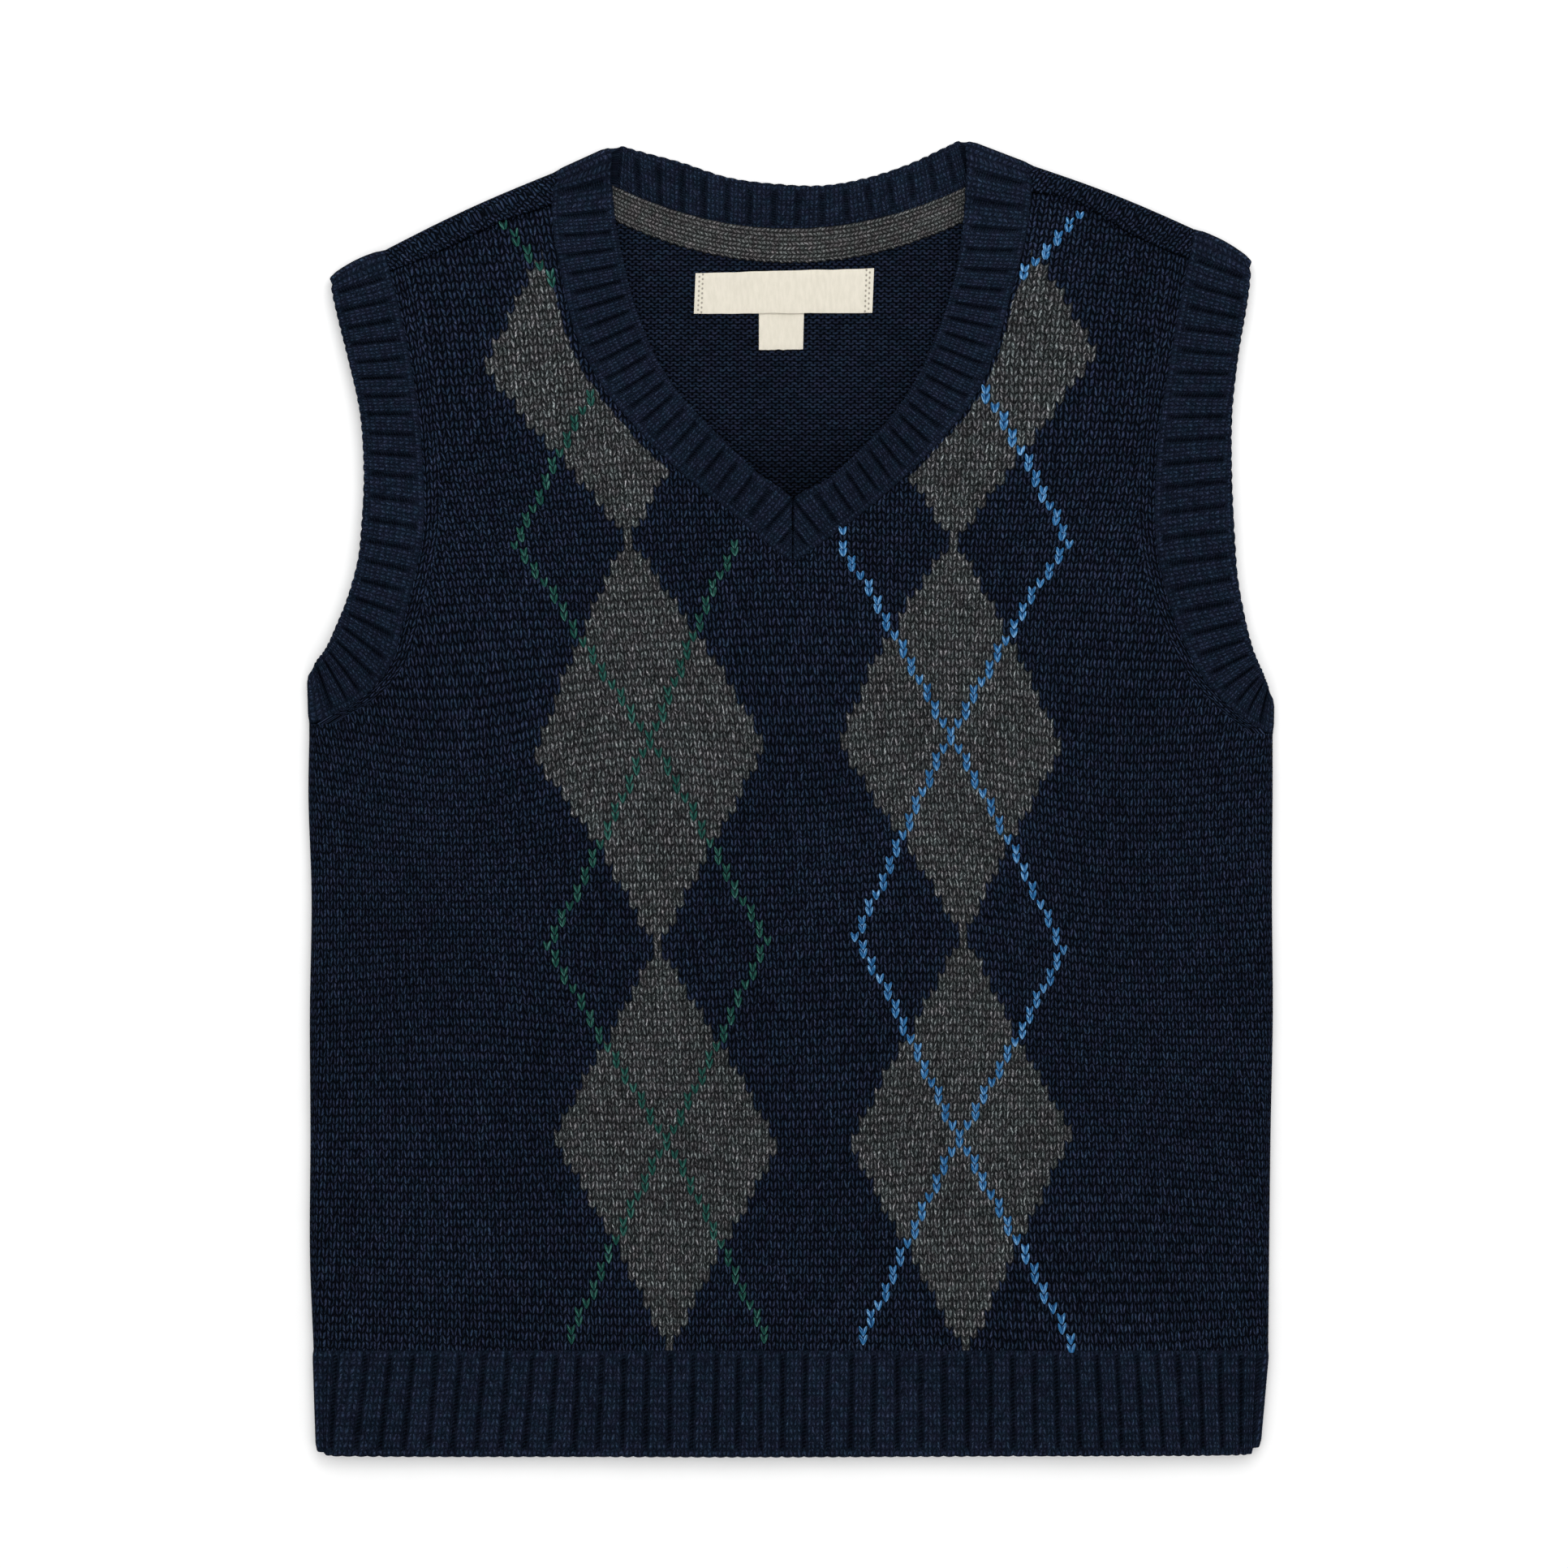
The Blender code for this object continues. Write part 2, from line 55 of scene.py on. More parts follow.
def table(names, *rows):
    """A size table as named columns: a count first, then lengths given in millimetres."""
    names = names.split()
    columns = dict(zip(names, zip(*rows)))
    return {
        name: [value * (1 if name == names[0] else MM) for value in column]
        for name, column in columns.items()
    }


BAND = "rib seam_x seam_y free_x free_y"
ARMHOLE_LEFT = table(
    BAND,  # a row every few ribs, from the shoulder fold to the fold at the side
    (0, -142.3, 192.3, -161.8, 182.6),
    (2, -138.0, 175.4, -159.2, 170.3),
    (5, -133.4, 154.6, -154.8, 152.6),
    (8, -130.3, 134.4, -150.9, 134.7),
    (11, -128.6, 112.0, -149.6, 114.2),
    (13, -128.6, 94.6, -150.2, 98.3),
    (15, -131.4, 79.2, -151.6, 84.1),
    (17, -135.1, 64.4, -155.1, 71.0),
    (19, -140.0, 47.4, -158.8, 61.6),
    (21, -149.6, 35.7, -162.6, 53.1),
    (23, -159.9, 29.4, -166.2, 48.0),
    (24, -168.8, 25.7, -169.3, 43.4),
)
ARMHOLE_RIGHT = table(
    BAND,
    (0, 141.7, 199.6, 161.9, 188.5),
    (2, 138.0, 181.1, 160.2, 174.2),
    (5, 133.7, 157.5, 157.0, 155.2),
    (8, 129.7, 133.3, 154.8, 133.9),
    (11, 127.7, 108.3, 154.8, 111.4),
    (13, 128.0, 90.6, 155.6, 94.0),
    (15, 131.4, 72.7, 156.8, 77.5),
    (17, 137.1, 56.8, 159.6, 62.2),
    (19, 144.5, 42.5, 162.4, 51.6),
    (21, 154.5, 31.7, 165.5, 44.4),
    (23, 163.9, 24.6, 167.2, 39.8),
    (24, 169.2, 22.3, 169.4, 35.2),
)
NECK_LEFT = table(
    BAND,  # from the point of the V to the fold at the shoulder
    (0, 0.8, 82.4, 0.8, 84.4),
    (1, -5.0, 86.8, 0.8, 94.5),
    (2, -10.5, 91.5, 0.8, 104.5),
    (4, -21.6, 100.9, -11.9, 114.5),
    (7, -38.7, 114.5, -26.7, 128.7),
    (10, -54.1, 129.9, -39.3, 142.4),
    (13, -66.6, 145.5, -47.8, 156.0),
    (16, -75.4, 163.2, -54.1, 171.4),
    (19, -80.2, 182.8, -58.3, 186.8),
    (22, -83.6, 203.6, -61.7, 205.3),
    (24, -83.1, 219.5, -63.7, 228.3),
)
NECK_RIGHT = table(
    BAND,
    (0, 0.8, 82.4, 0.8, 84.4),
    (1, 6.5, 86.3, 0.8, 94.5),
    (2, 12.0, 90.3, 0.8, 104.5),
    (4, 22.6, 98.0, 13.4, 112.2),
    (7, 36.4, 109.5, 25.8, 123.8),
    (10, 50.1, 122.8, 36.4, 135.3),
    (13, 63.7, 139.5, 45.0, 148.9),
    (16, 72.0, 157.2, 51.5, 163.7),
    (19, 77.4, 177.4, 56.6, 179.1),
    (22, 82.8, 198.7, 60.3, 199.9),
    (25, 85.3, 221.8, 62.3, 230.6),
)
NECK_BACK = table(
    BAND,  # the back of the neck, from the left shoulder to the right
    (0, -61.5, 208.4, -59.7, 229.2),
    (1, -53.2, 204.4, -54.1, 227.5),
    (3, -38.4, 198.7, -38.1, 223.2),
    (5, -23.0, 195.3, -22.2, 218.1),
    (7, -6.5, 193.9, -5.7, 215.8),
    (9, 10.8, 194.2, 11.1, 215.2),
    (11, 29.6, 197.6, 26.5, 217.8),
    (13, 44.4, 202.7, 41.3, 222.6),
    (15, 60.0, 208.7, 54.3, 228.6),
    (16, 65.2, 211.5, 59.2, 231.0),
)
SIDES = table(
    "row y left right",
    (0, -193.0, -167.4, 167.7),
    (1, -160.0, -168.7, 168.0),
    (2, -118.0, -168.5, 168.5),
    (3, -76.0, -168.7, 169.3),
    (4, -35.0, -168.1, 169.0),
    (5, 0.0, -169.2, 169.2),
    (6, 22.0, -168.9, 169.2),
)
# Where the shoulder seam meets the armhole band and the neck band, in ribs.
SHOULDER_SEAM = {"left": (0.85, 22.6), "right": (1.1, 23.8)}
FOLD_BOW = 1.0 * MM  # how far the fold at a shoulder bulges between its ends
FOLD_RADIUS = 2.9 * MM
SEAM_BOW = {  # share of the way from the armhole, and millimetres towards the shoulder fold
    "left": ((0, 0.16, 0.44, 0.65, 1), (0, -0.6, 0.2, 1.2, 0)),
    "right": ((0, 0.15, 0.365, 0.56, 0.78, 1), (0, -0.4, 0, 2.0, 3.2, 0)),
}
SIDE = {
    "left": (ARMHOLE_LEFT, NECK_LEFT, Vector((-1, 0))),
    "right": (ARMHOLE_RIGHT, NECK_RIGHT, Vector((1, 0))),
}
NEAR_FOLD = 0.65  # ribs between a shoulder fold's line and the first section that lies flat
NEAR_SIDE = 0.8  # the same at the fold under the arm
UP_TO_FLAT = [0, 12, 24, 36, 48, 60, 75, 90]  # degrees round the upper half of a fold
DOWN_TO_FLAT = [-angle for angle in UP_TO_FLAT]
ROUND_FOLD = DOWN_TO_FLAT[:0:-1] + UP_TO_FLAT


def smooth(places, values, at):
    """The value at a place on a smooth curve through a table's values."""
    last = len(places) - 1
    at = min(max(at, places[0]), places[last])
    i = max(j for j in range(last) if places[j] <= at)
    slopes = []
    for j in (i, i + 1):
        low, high = max(j - 1, 0), min(j + 1, last)
        slopes.append((values[high] - values[low]) / (places[high] - places[low]))
    step = places[i + 1] - places[i]
    t = (at - places[i]) / step
    start = (2 * t**3 - 3 * t**2 + 1) * values[i] + (t**3 - 2 * t**2 + t) * step * slopes[0]
    end = (3 * t**2 - 2 * t**3) * values[i + 1] + (t**3 - t**2) * step * slopes[1]
    return start + end


def steps(start, end, count):
    """count + 1 even steps from start to end."""
    return [start + (end - start) * i / count for i in range(count + 1)]


def eased(low, high, at):
    """0 below low, 1 above high, and an easy curve between."""
    t = min(max((at - low) / (high - low), 0), 1)
    return t * t * (3 - 2 * t)


def section(band, rib):
    """The seam point and the free point of a band at a rib, in plan."""
    seam_x, seam_y, free_x, free_y = (smooth(band["rib"], band[n], rib) for n in BAND.split()[1:])
    if band is NECK_LEFT:
        free_x = min(free_x, CENTRE_X)
    if band is NECK_RIGHT:
        free_x = max(free_x, CENTRE_X)
    return Vector((seam_x, seam_y)), Vector((free_x, free_y))


def beside(band, rib):
    """The edge of the panel at a rib of the band that is sewn to it."""
    seam, free = section(band, rib)
    return seam + (free - seam).normalized() * SEWN


# Soft rolls left by folding and handling: the middle, the way they run in degrees, half their
# length, half their width, and their height.
ROLLS = (
    (-108, -18, 20, 34, 17, 0.5),
    (-146, -172, 95, 14, 6, 0.45),
    (143, -62, -22, 40, 9, 0.45),
    (-150, -88, 75, 30, 10, -0.4),
    (-128, 46, 35, 26, 12, -0.35),
    (120, -132, -60, 36, 14, -0.35),
    (-20, 30, 85, 60, 16, 0.25),
    (15, -70, 88, 55, 14, -0.25),
    (-112, 108, 80, 40, 12, 0.3),
    (108, 118, 97, 44, 11, 0.3),
    (96, 20, 70, 34, 12, -0.3),
    (-80, -140, 10, 40, 15, 0.25),
    (85, -165, 12, 36, 12, 0.25),
    (0, -178, 3, 70, 9, -0.3),
)
COCKLE, COCKLE_SIZE = 0.12, 28 * MM  # height and size of the small unevenness between them
FOLLOW = 0.3 * MM  # the most that the underside of the front layer follows it all


def drape(spot):
    """How far the cloth stands above an even lie."""
    height = 0.0
    for x, y, way, length, width, rise in ROLLS:
        away = spot - Vector((x, y)) * MM
        along = Vector((math.cos(math.radians(way)), math.sin(math.radians(way))))
        far = away.dot(along) / (length * MM)
        off = away.dot(Vector((-along.y, along.x))) / (width * MM)
        height += rise * math.exp(-far * far - off * off)
    return (height + COCKLE * noise.noise(Vector((*spot, 0)) / COCKLE_SIZE)) * MM


def front_level(spot):
    """Height of the underside of the front layer."""
    lift = eased(CHEST_FROM, CHEST_TO, spot.y)
    swell = math.sin(2 * math.pi * spot.x / SWELL_LENGTH)
    swell *= math.cos(2 * math.pi * spot.y / SWELL_LENGTH)
    return FRONT_LEVEL + CHEST_LIFT * lift + SWELL * swell


def on_front(spot, wall, relief=0.0):
    """Outer and inner point of the upper layer."""
    level, lie = front_level(spot), drape(spot)
    outer, inner = level + lie + wall + relief, level + min(lie, FOLLOW)
    return Vector((*spot, outer)), Vector((*spot, inner))


def on_back(spot, wall, relief=0.0):
    """Outer and inner point of the lower layer, which lies flat on the ground."""
    return Vector((*spot, 0)), Vector((*spot, wall + relief))


def on_fold(spot, out, wall, angle, relief=0.0):
    """Outer and inner point on the way round a fold, from the front (90) to the back (-90)."""
    level = front_level(spot) + drape(spot) * eased(0, 90, angle)
    outer_radius, inner_radius = (level + wall) / 2, (level - wall) / 2
    turn = math.radians(angle)
    middle = spot - out * outer_radius
    pair = []
    for radius in (outer_radius + relief, inner_radius):
        point = (middle + out * radius * math.cos(turn)).to_3d()
        point.z = (level + wall) / 2 + radius * math.sin(turn)
        pair.append(point)
    return tuple(pair)


def side_spot(side, y):
    """A point on the fold at the side of the body."""
    return Vector((smooth(SIDES["y"], SIDES[side], y), y))


def shoulder_out(side):
    """The way that the fold at a shoulder faces, in plan."""
    armhole, neck, _ = SIDE[side]
    along = section(neck, neck["rib"][-1])[0] - section(armhole, 0)[0]
    out = Vector((-along.y, along.x)).normalized()
    return out if out.y > 0 else -out


def fold_spot(side, share):
    """A point on the fold at a shoulder, from the armhole (0) to the neck (1)."""
    armhole, neck, _ = SIDE[side]
    low, high = beside(armhole, 0), beside(neck, neck["rib"][-1])
    return low.lerp(high, share) + shoulder_out(side) * FOLD_BOW * math.sin(math.pi * share)


def shoulder_line(side, ribs, share, forward=1.0):
    """A point on a line from the armhole to the neck, from the fold (0) forward to the seam (1)."""
    armhole, neck, _ = SIDE[side]
    low, high = beside(armhole, ribs[0]), beside(neck, ribs[1])
    bow = FOLD_BOW * math.sin(math.pi * share) * (1 - forward)
    bow += smooth(*SEAM_BOW[side], share) * MM * forward
    return low.lerp(high, share) + shoulder_out(side) * bow


WELD = 0.003 * MM
SHARP = math.radians(70)


def new_cloth():
    """An empty mesh that keeps each point's inner twin and the stitch count at each corner."""
    bm = bmesh.new()
    bm.verts.layers.float_vector.new("inner")
    bm.verts.layers.float.new("rim")
    bm.loops.layers.uv.new("Stitches")
    return bm


def lay(bm, rows):
    """Lay a grid of cloth: rows of places, each an outer point, an inner point and a stitch count.

    A place in a band also has a fourth value, 1 on its rims and 0 where its ribs are full."""
    inner, stitches = bm.verts.layers.float_vector["inner"], bm.loops.layers.uv["Stitches"]
    rim = bm.verts.layers.float["rim"]
    wide, high = len(rows[0]) - 1, len(rows) - 1
    made = bmesh.ops.create_grid(bm, x_segments=wide, y_segments=high, size=0.5)["verts"]
    place = {v: rows[round((v.co.y + 0.5) * high)][round((v.co.x + 0.5) * wide)] for v in made}
    for vert, (outer, under, _, *edge) in place.items():
        vert.co, vert[inner] = outer, under
        vert[rim] = edge[0] if edge else 0.0
    for face in {face for vert in made for face in vert.link_faces}:
        for loop in face.loops:
            loop[stitches].uv = place[loop.vert][2]


def new_piece(name, bm, *materials):
    """An object with its mesh and materials."""
    mesh = bpy.data.meshes.new(name)
    bm.to_mesh(mesh)
    bm.free()
    mesh.shade_smooth()
    for material in materials:
        mesh.materials.append(material)
    piece = bpy.data.objects.new(name, mesh)
    bpy.context.scene.collection.objects.link(piece)
    return piece


def sew_up(name, bm, slot, outside, inside, *nodes):
    """Close the sheet with its inner side and rim, and make the piece that stands for the nodes."""
    inner = bm.verts.layers.float_vector["inner"]
    bmesh.ops.remove_doubles(bm, verts=bm.verts, dist=WELD)
    made = bmesh.ops.extrude_face_region(bm, geom=bm.faces[:], use_keep_orig=True)["geom"]
    for item in made:
        if isinstance(item, bmesh.types.BMVert):
            item.co = item[inner]
        elif isinstance(item, bmesh.types.BMFace):
            item.material_index = 1
    bmesh.ops.recalc_face_normals(bm, faces=bm.faces)
    piece = new_piece(name, bm, outside, inside)
    piece.data.set_sharp_from_angle(angle=SHARP)
    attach(piece, "root")
    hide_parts(*nodes)
    return piece


class Signal:
    """A value that varies over a surface; a sum of signals makes the math nodes for it."""

    def __init__(self, tree, socket):
        self.tree, self.socket = tree, socket

    def __add__(self, other):
        return calc("ADD", self, other)

    def __sub__(self, other):
        return calc("SUBTRACT", self, other)

    def __rsub__(self, other):
        return calc("SUBTRACT", other, self)

    def __mul__(self, other):
        return calc("MULTIPLY", self, other)

    def __truediv__(self, other):
        return calc("DIVIDE", self, other)

    def __mod__(self, other):
        return calc("FLOORED_MODULO", self, other)

    def __pow__(self, other):
        return calc("POWER", self, other)

    def __gt__(self, other):
        return calc("GREATER_THAN", self, other)

    def __lt__(self, other):
        return calc("LESS_THAN", self, other)

    def __abs__(self):
        return calc("ABSOLUTE", self)

    def ease(self, low, high, start=0.0, end=1.0):
        """An easy step, from start where the signal is low to end where it is high."""
        ends = low, high, start, end
        return add(self.tree, "MapRange", self, *ends, interpolation_type="SMOOTHSTEP")


def feed(tree, socket, value):
    """Link a signal to a socket, or set a value there; None leaves it as it is."""
    if isinstance(value, Signal):
        tree.links.new(value.socket, socket)
    elif value is not None:
        socket.default_value = value


def add(tree, kind, *values, output=0, **settings):
    """The signal that a new shader node puts out, with its inputs fed in order."""
    node = tree.nodes.new("ShaderNode" + kind)
    for key, value in settings.items():
        setattr(node, key, value)
    for socket, value in zip(node.inputs, values):
        feed(tree, socket, value)
    return Signal(tree, node.outputs[output])


def calc(operation, *values):
    tree = next(value.tree for value in values if isinstance(value, Signal))
    return add(tree, "Math", *values, operation=operation)


def parts(vector):
    """The three components of a vector."""
    node = add(vector.tree, "SeparateXYZ", vector).socket.node
    return [Signal(vector.tree, socket) for socket in node.outputs]


def join(x, y, z):
    return add(x.tree, "CombineXYZ", x, y, z)


def grain(where, scale, detail, roughness, output="Fac"):
    """Smooth noise over a space."""
    return add(where.tree, "TexNoise", where, None, scale, detail, roughness, output=output)


def object_space(tree):
    """Where a point of the surface is, in metres."""
    return add(tree, "TexCoord", output="Object")


def tint(tree, factor, first, second, blend="MIX"):
    """Two colours mixed."""
    node = tree.nodes.new("ShaderNodeMix")
    node.data_type, node.blend_type = "RGBA", blend
    for place, value in ((0, factor), (6, first), (7, second)):
        feed(tree, node.inputs[place], value)
    return Signal(tree, node.outputs[2])


def dim(colour, red, green=None, blue=None):
    """A colour with its channels multiplied, all of them by the first factor if it is alone."""
    factors = add(colour.tree, "CombineColor", red, green or red, blue or red)
    return tint(colour.tree, 1.0, colour, factors, "MULTIPLY")


def new_group(name, outputs, **inputs):
    """A shader node group: its tree, the signals given to it, and its outputs."""
    tree = bpy.data.node_groups.new(name, "ShaderNodeTree")
    for label, value in inputs.items():
        kind = {3: "Vector", 4: "Color"}[len(value)] if isinstance(value, tuple) else "Float"
        socket = tree.interface.new_socket(label, in_out="INPUT", socket_type="NodeSocket" + kind)
        socket.default_value = value
    for label in outputs:
        kind = "Color" if label == "Colour" else "Float"
        tree.interface.new_socket(label, in_out="OUTPUT", socket_type="NodeSocket" + kind)
    sockets = tree.nodes.new("NodeGroupInput").outputs
    given = {label: Signal(tree, sockets[label]) for label in inputs}
    return tree, given, tree.nodes.new("NodeGroupOutput").inputs


def put_out(tree, sockets, **values):
    for label, value in values.items():
        feed(tree, sockets[label], value)


def place_group(tree, group, **values):
    """The signals of a group in a material or in another group, with its inputs fed by name."""
    node = tree.nodes.new("ShaderNodeGroup")
    node.node_tree = group
    put_out(tree, node.inputs, **values)
    return {socket.name: Signal(tree, socket) for socket in node.outputs}


def strayed(given, scale, detail, roughness):
    """The count of columns and of rows, moved about a little so that stitches are uneven."""
    count, uneven = given["Stitches"], given["Uneven"]
    place = grain(count, scale, detail, roughness, "Color")
    reach = join(uneven, uneven, 0.0)
    for operation, other in (("SUBTRACT", (0.5, 0.5, 0.5)), ("MULTIPLY", reach), ("ADD", count)):
        place = add(count.tree, "VectorMath", place, other, operation=operation)
    return parts(place)[:2]


# Open is how far a point lies out of the painted shade that darkens the gaps between legs and the
# furrows between ribs.
STITCH_OUT = ("Height", "Open", "Chance", "Fibre")

# Plain knit seen from its right side: columns of V stitches, each of two leaning legs.
plain_stitch, given, out = new_group(
    "Plain stitch",
    (*STITCH_OUT, "Column", "Row"),
    Stitches=(0, 0, 0), Slant=0.9, Lean=0.12, Uneven=0.25, Twist=0.2,
)
columns, rows = strayed(given, 0.8, 3.0, 0.65)
column = calc("FLOOR", columns)
across = calc("FRACT", columns) - 0.5
aside = abs(across)
climb = rows - aside * given["Slant"]
row, share = calc("FLOOR", climb), calc("FRACT", climb)
aside = aside - (share - 0.5) * given["Lean"]
chance = add(plain_stitch, "TexWhiteNoise", join(column, row, across > 0.0))
bulge = share * (1.0 - share) * 4.0
notch = calc("COSINE", (aside * 0.7 + share) * (4 * math.pi)) * 0.5 + 0.5
crown = bulge ** 0.7 * (1.0 - notch * given["Twist"])
middle = aside.ease(0.02, 0.17, 0.05, 1.0)
edge = (0.5 - aside).ease(0.02, 0.16)
loft = grain(given["Stitches"], 1.7, 2.0, 0.6).ease(0.3, 0.7, 0.45, 1.1)
height = crown * loft * (middle * edge)
fibre = grain(join(aside * 5.0, share * 2.6, chance * 60.0), 1.3, 3.0, 0.75)
# Painted shade: the low parts of a stitch, between its legs and between rows, get a darker colour.
out_of_painted_shade = height.ease(0.15, 0.8)
put_out(plain_stitch, out, Height=height, Open=out_of_painted_shade, Chance=chance, Fibre=fibre)
put_out(plain_stitch, out, Column=column, Row=row)

# The purl side: rows of small bumps that lie in waves.
purl_stitch, given, out = new_group("Purl stitch", STITCH_OUT, Stitches=(0, 0, 0), Uneven=0.25)
wide, rows = strayed(given, 0.6, 2.0, 0.6)
row = calc("FLOOR", rows * 2.0)
odd = row % 2.0
columns = wide + odd * 0.5
across = calc("FRACT", columns) - 0.5
share = calc("FRACT", rows * 2.0) + across * across * (odd * -3.0 + 1.5)
chance = add(purl_stitch, "TexWhiteNoise", join(calc("FLOOR", columns), row, 0.0))
bulge = calc("MAXIMUM", share * (1.0 - share) * 4.0, 0.0)
height = bulge ** 0.6 * abs(across).ease(0.5, 0.25)
fibre = grain(join(wide * 2.0, share * 3.5, chance * 60.0), 1.6, 3.0, 0.65)
# Painted shade between the purl bumps: Open falls where they are low.
out_of_painted_shade = height.ease(0.2, 0.85)
put_out(purl_stitch, out, Height=height, Open=out_of_painted_shade, Chance=chance, Fibre=fibre)

# Yarn: its colour from leg to leg and along its fibres, and painted shade that darkens it between
# the legs, down to Depth where Open is 0.
yarn, given, out = new_group(
    "Yarn",
    ("Colour",),
    Open=1.0, Chance=0.5, Fibre=0.5, Flecks=0.3, Shades=0.3, Depth=0.2,
    Colour=(0.1, 0.1, 0.1, 1), Light=(0.5, 0.5, 0.5, 1), Dark=(0.0, 0.0, 0.0, 1),
)
light = given["Fibre"].ease(0.5, 0.68) * given["Flecks"]
dark = given["Fibre"].ease(0.5, 0.34) * given["Flecks"]
colour = tint(yarn, light, given["Colour"], given["Light"])
colour = tint(yarn, dark, colour, given["Dark"])
shade = (given["Chance"] - 0.5) * given["Shades"] + 1.0
gap_shade = given["Depth"] + given["Open"] * (1.0 - given["Depth"])
put_out(yarn, out, Colour=dim(colour, shade * gap_shade))


def new_material(name, roughness=0.95, specular=0.02):
    """A material with its constants, its tree, and the shader that its patterns go into."""
    material = bpy.data.materials.new(name)
    material.use_nodes = True
    surface = material.node_tree.nodes["Principled BSDF"]
    surface.inputs["Roughness"].default_value = roughness
    surface.inputs["Specular IOR Level"].default_value = specular
    return material, material.node_tree, surface


def stitch_count(tree):
    return add(tree, "UVMap", uv_map="Stitches")


def dyed(stitch, look):
    """The colour of stitches in a yarn with the given look."""
    shown = {label: stitch[label] for label in ("Open", "Chance", "Fibre")}
    return place_group(stitch["Open"].tree, yarn, **shown, **look)["Colour"]


def cloudy(colour, size=0.05, amount=0.08, casts=0.12):
    """A colour that is a little uneven over the cloth, in depth and towards teal and violet."""
    where = object_space(colour.tree)
    level = grain(where, 1 / size, 2.0, 0.5).ease(0.3, 0.7, 1 - amount, 1 + amount)
    cast = grain(where, 260.0, 2.0, 0.6)
    red = level * cast.ease(0.3, 0.7, 1 - casts, 1 + casts)
    green = level * cast.ease(0.3, 0.7, 1 + casts * 0.4, 1 - casts * 0.4)
    return dim(colour, red, green, level)


def finish_knit(surface, colour, height, relief):
    """Put a knit's colour and its relief, in metres, into its shader."""
    bump = add(colour.tree, "Bump", 1.0, relief, None, height)
    feed(colour.tree, surface.inputs["Base Color"], colour)
    feed(colour.tree, surface.inputs["Normal"], bump)


# In each yarn's look, Depth is how dark its painted shade between the legs goes.
NAVY_DARK = (0.0025, 0.0045, 0.011, 1)
NAVY = {
    "Colour": (0.0172, 0.0278, 0.0590, 1), "Light": (0.055, 0.079, 0.132, 1), "Dark": NAVY_DARK,
    "Flecks": 0.7, "Shades": 0.6, "Depth": 0.06,
}
PURL = {
    "Colour": (0.0100, 0.0155, 0.0320, 1), "Light": (0.030, 0.045, 0.077, 1), "Dark": NAVY_DARK,
    "Flecks": 0.6, "Shades": 0.6, "Depth": 0.08,
}
# The purl side's painted shade is darkest below DEEP_IN_V and ends above CLEAR_OF_FRONT.
DEEP_IN_V, CLEAR_OF_FRONT = 95 * MM, 140 * MM
KNIT_RELIEF, PURL_RELIEF = 0.9 * MM, 0.8 * MM
navy_knit, tree, surface = new_material("Navy plain knit")
stitch = place_group(tree, plain_stitch, Stitches=stitch_count(tree), Uneven=0.55)
finish_knit(surface, cloudy(dyed(stitch, NAVY)), stitch["Height"], KNIT_RELIEF)

navy_purl, tree, surface = new_material("Navy purl side")
stitch = place_group(tree, purl_stitch, Stitches=stitch_count(tree), Uneven=0.35)
# Painted shade: it is darker low in the V, where the front lies close over it and shades it.
light = parts(object_space(tree))[1].ease(DEEP_IN_V, CLEAR_OF_FRONT, 0.4, 1.0)
finish_knit(surface, cloudy(dim(dyed(stitch, PURL), light)), stitch["Height"], PURL_RELIEF)

BACK_WALE, BACK_ROW = 2.65 * MM, 1.86 * MM  # width and height of a stitch
SIDE_ARC = 4 * MM  # cloth in the lower half of a side fold
SHOULDER_STEPS, NECKLINE_STEPS, BODY_STEPS, ARMHOLE_STEPS = 14, 40, 40, 36
# Share of the way from a shoulder's fold to its seam, and millimetres that the cloth stands up.
TO_SEAM = (
    (0, 0), (0.25, 0), (0.5, 0.1), (0.7, 0.3), (0.85, 0.3), (0.93, -0.1), (0.97, -0.8), (1, -1.6)
)


def back_stitch(spot):
    return spot.x / BACK_WALE, spot.y / BACK_ROW


def edge_of_back(side):
    """The flat part's outline up one side and round the armhole, then along the shoulder."""
    armhole, _, out = SIDE[side]
    last = armhole["rib"][-1]
    up = []
    for y in steps(HEM_TOP, beside(armhole, last).y, BODY_STEPS):
        up.append(on_fold(side_spot(side, y), out, KNIT_WALL, -90)[0].to_2d())
    up += [beside(armhole, rib) for rib in steps(last - NEAR_SIDE, NEAR_FOLD, ARMHOLE_STEPS)]
    top = []
    for share in steps(0, 1, SHOULDER_STEPS):
        pair = on_fold(fold_spot(side, share), shoulder_out(side), KNIT_WALL, -90)
        top.append(pair[0].to_2d())
    up[-1] = top[0]
    return up, top


def side_fold_of_back(side):
    """The lower half of the fold at a side."""
    armhole, _, out = SIDE[side]
    rows = []
    for y in steps(HEM_TOP, beside(armhole, armhole["rib"][-1]).y, BODY_STEPS):
        row = []
        for angle in DOWN_TO_FLAT:
            pair = on_fold(side_spot(side, y), out, KNIT_WALL, angle)
            arc = out.x * (angle + 90) / 90 * SIDE_ARC
            row.append((*pair, ((pair[0].x + arc) / BACK_WALE, y / BACK_ROW)))
        rows.append(row)
    return rows


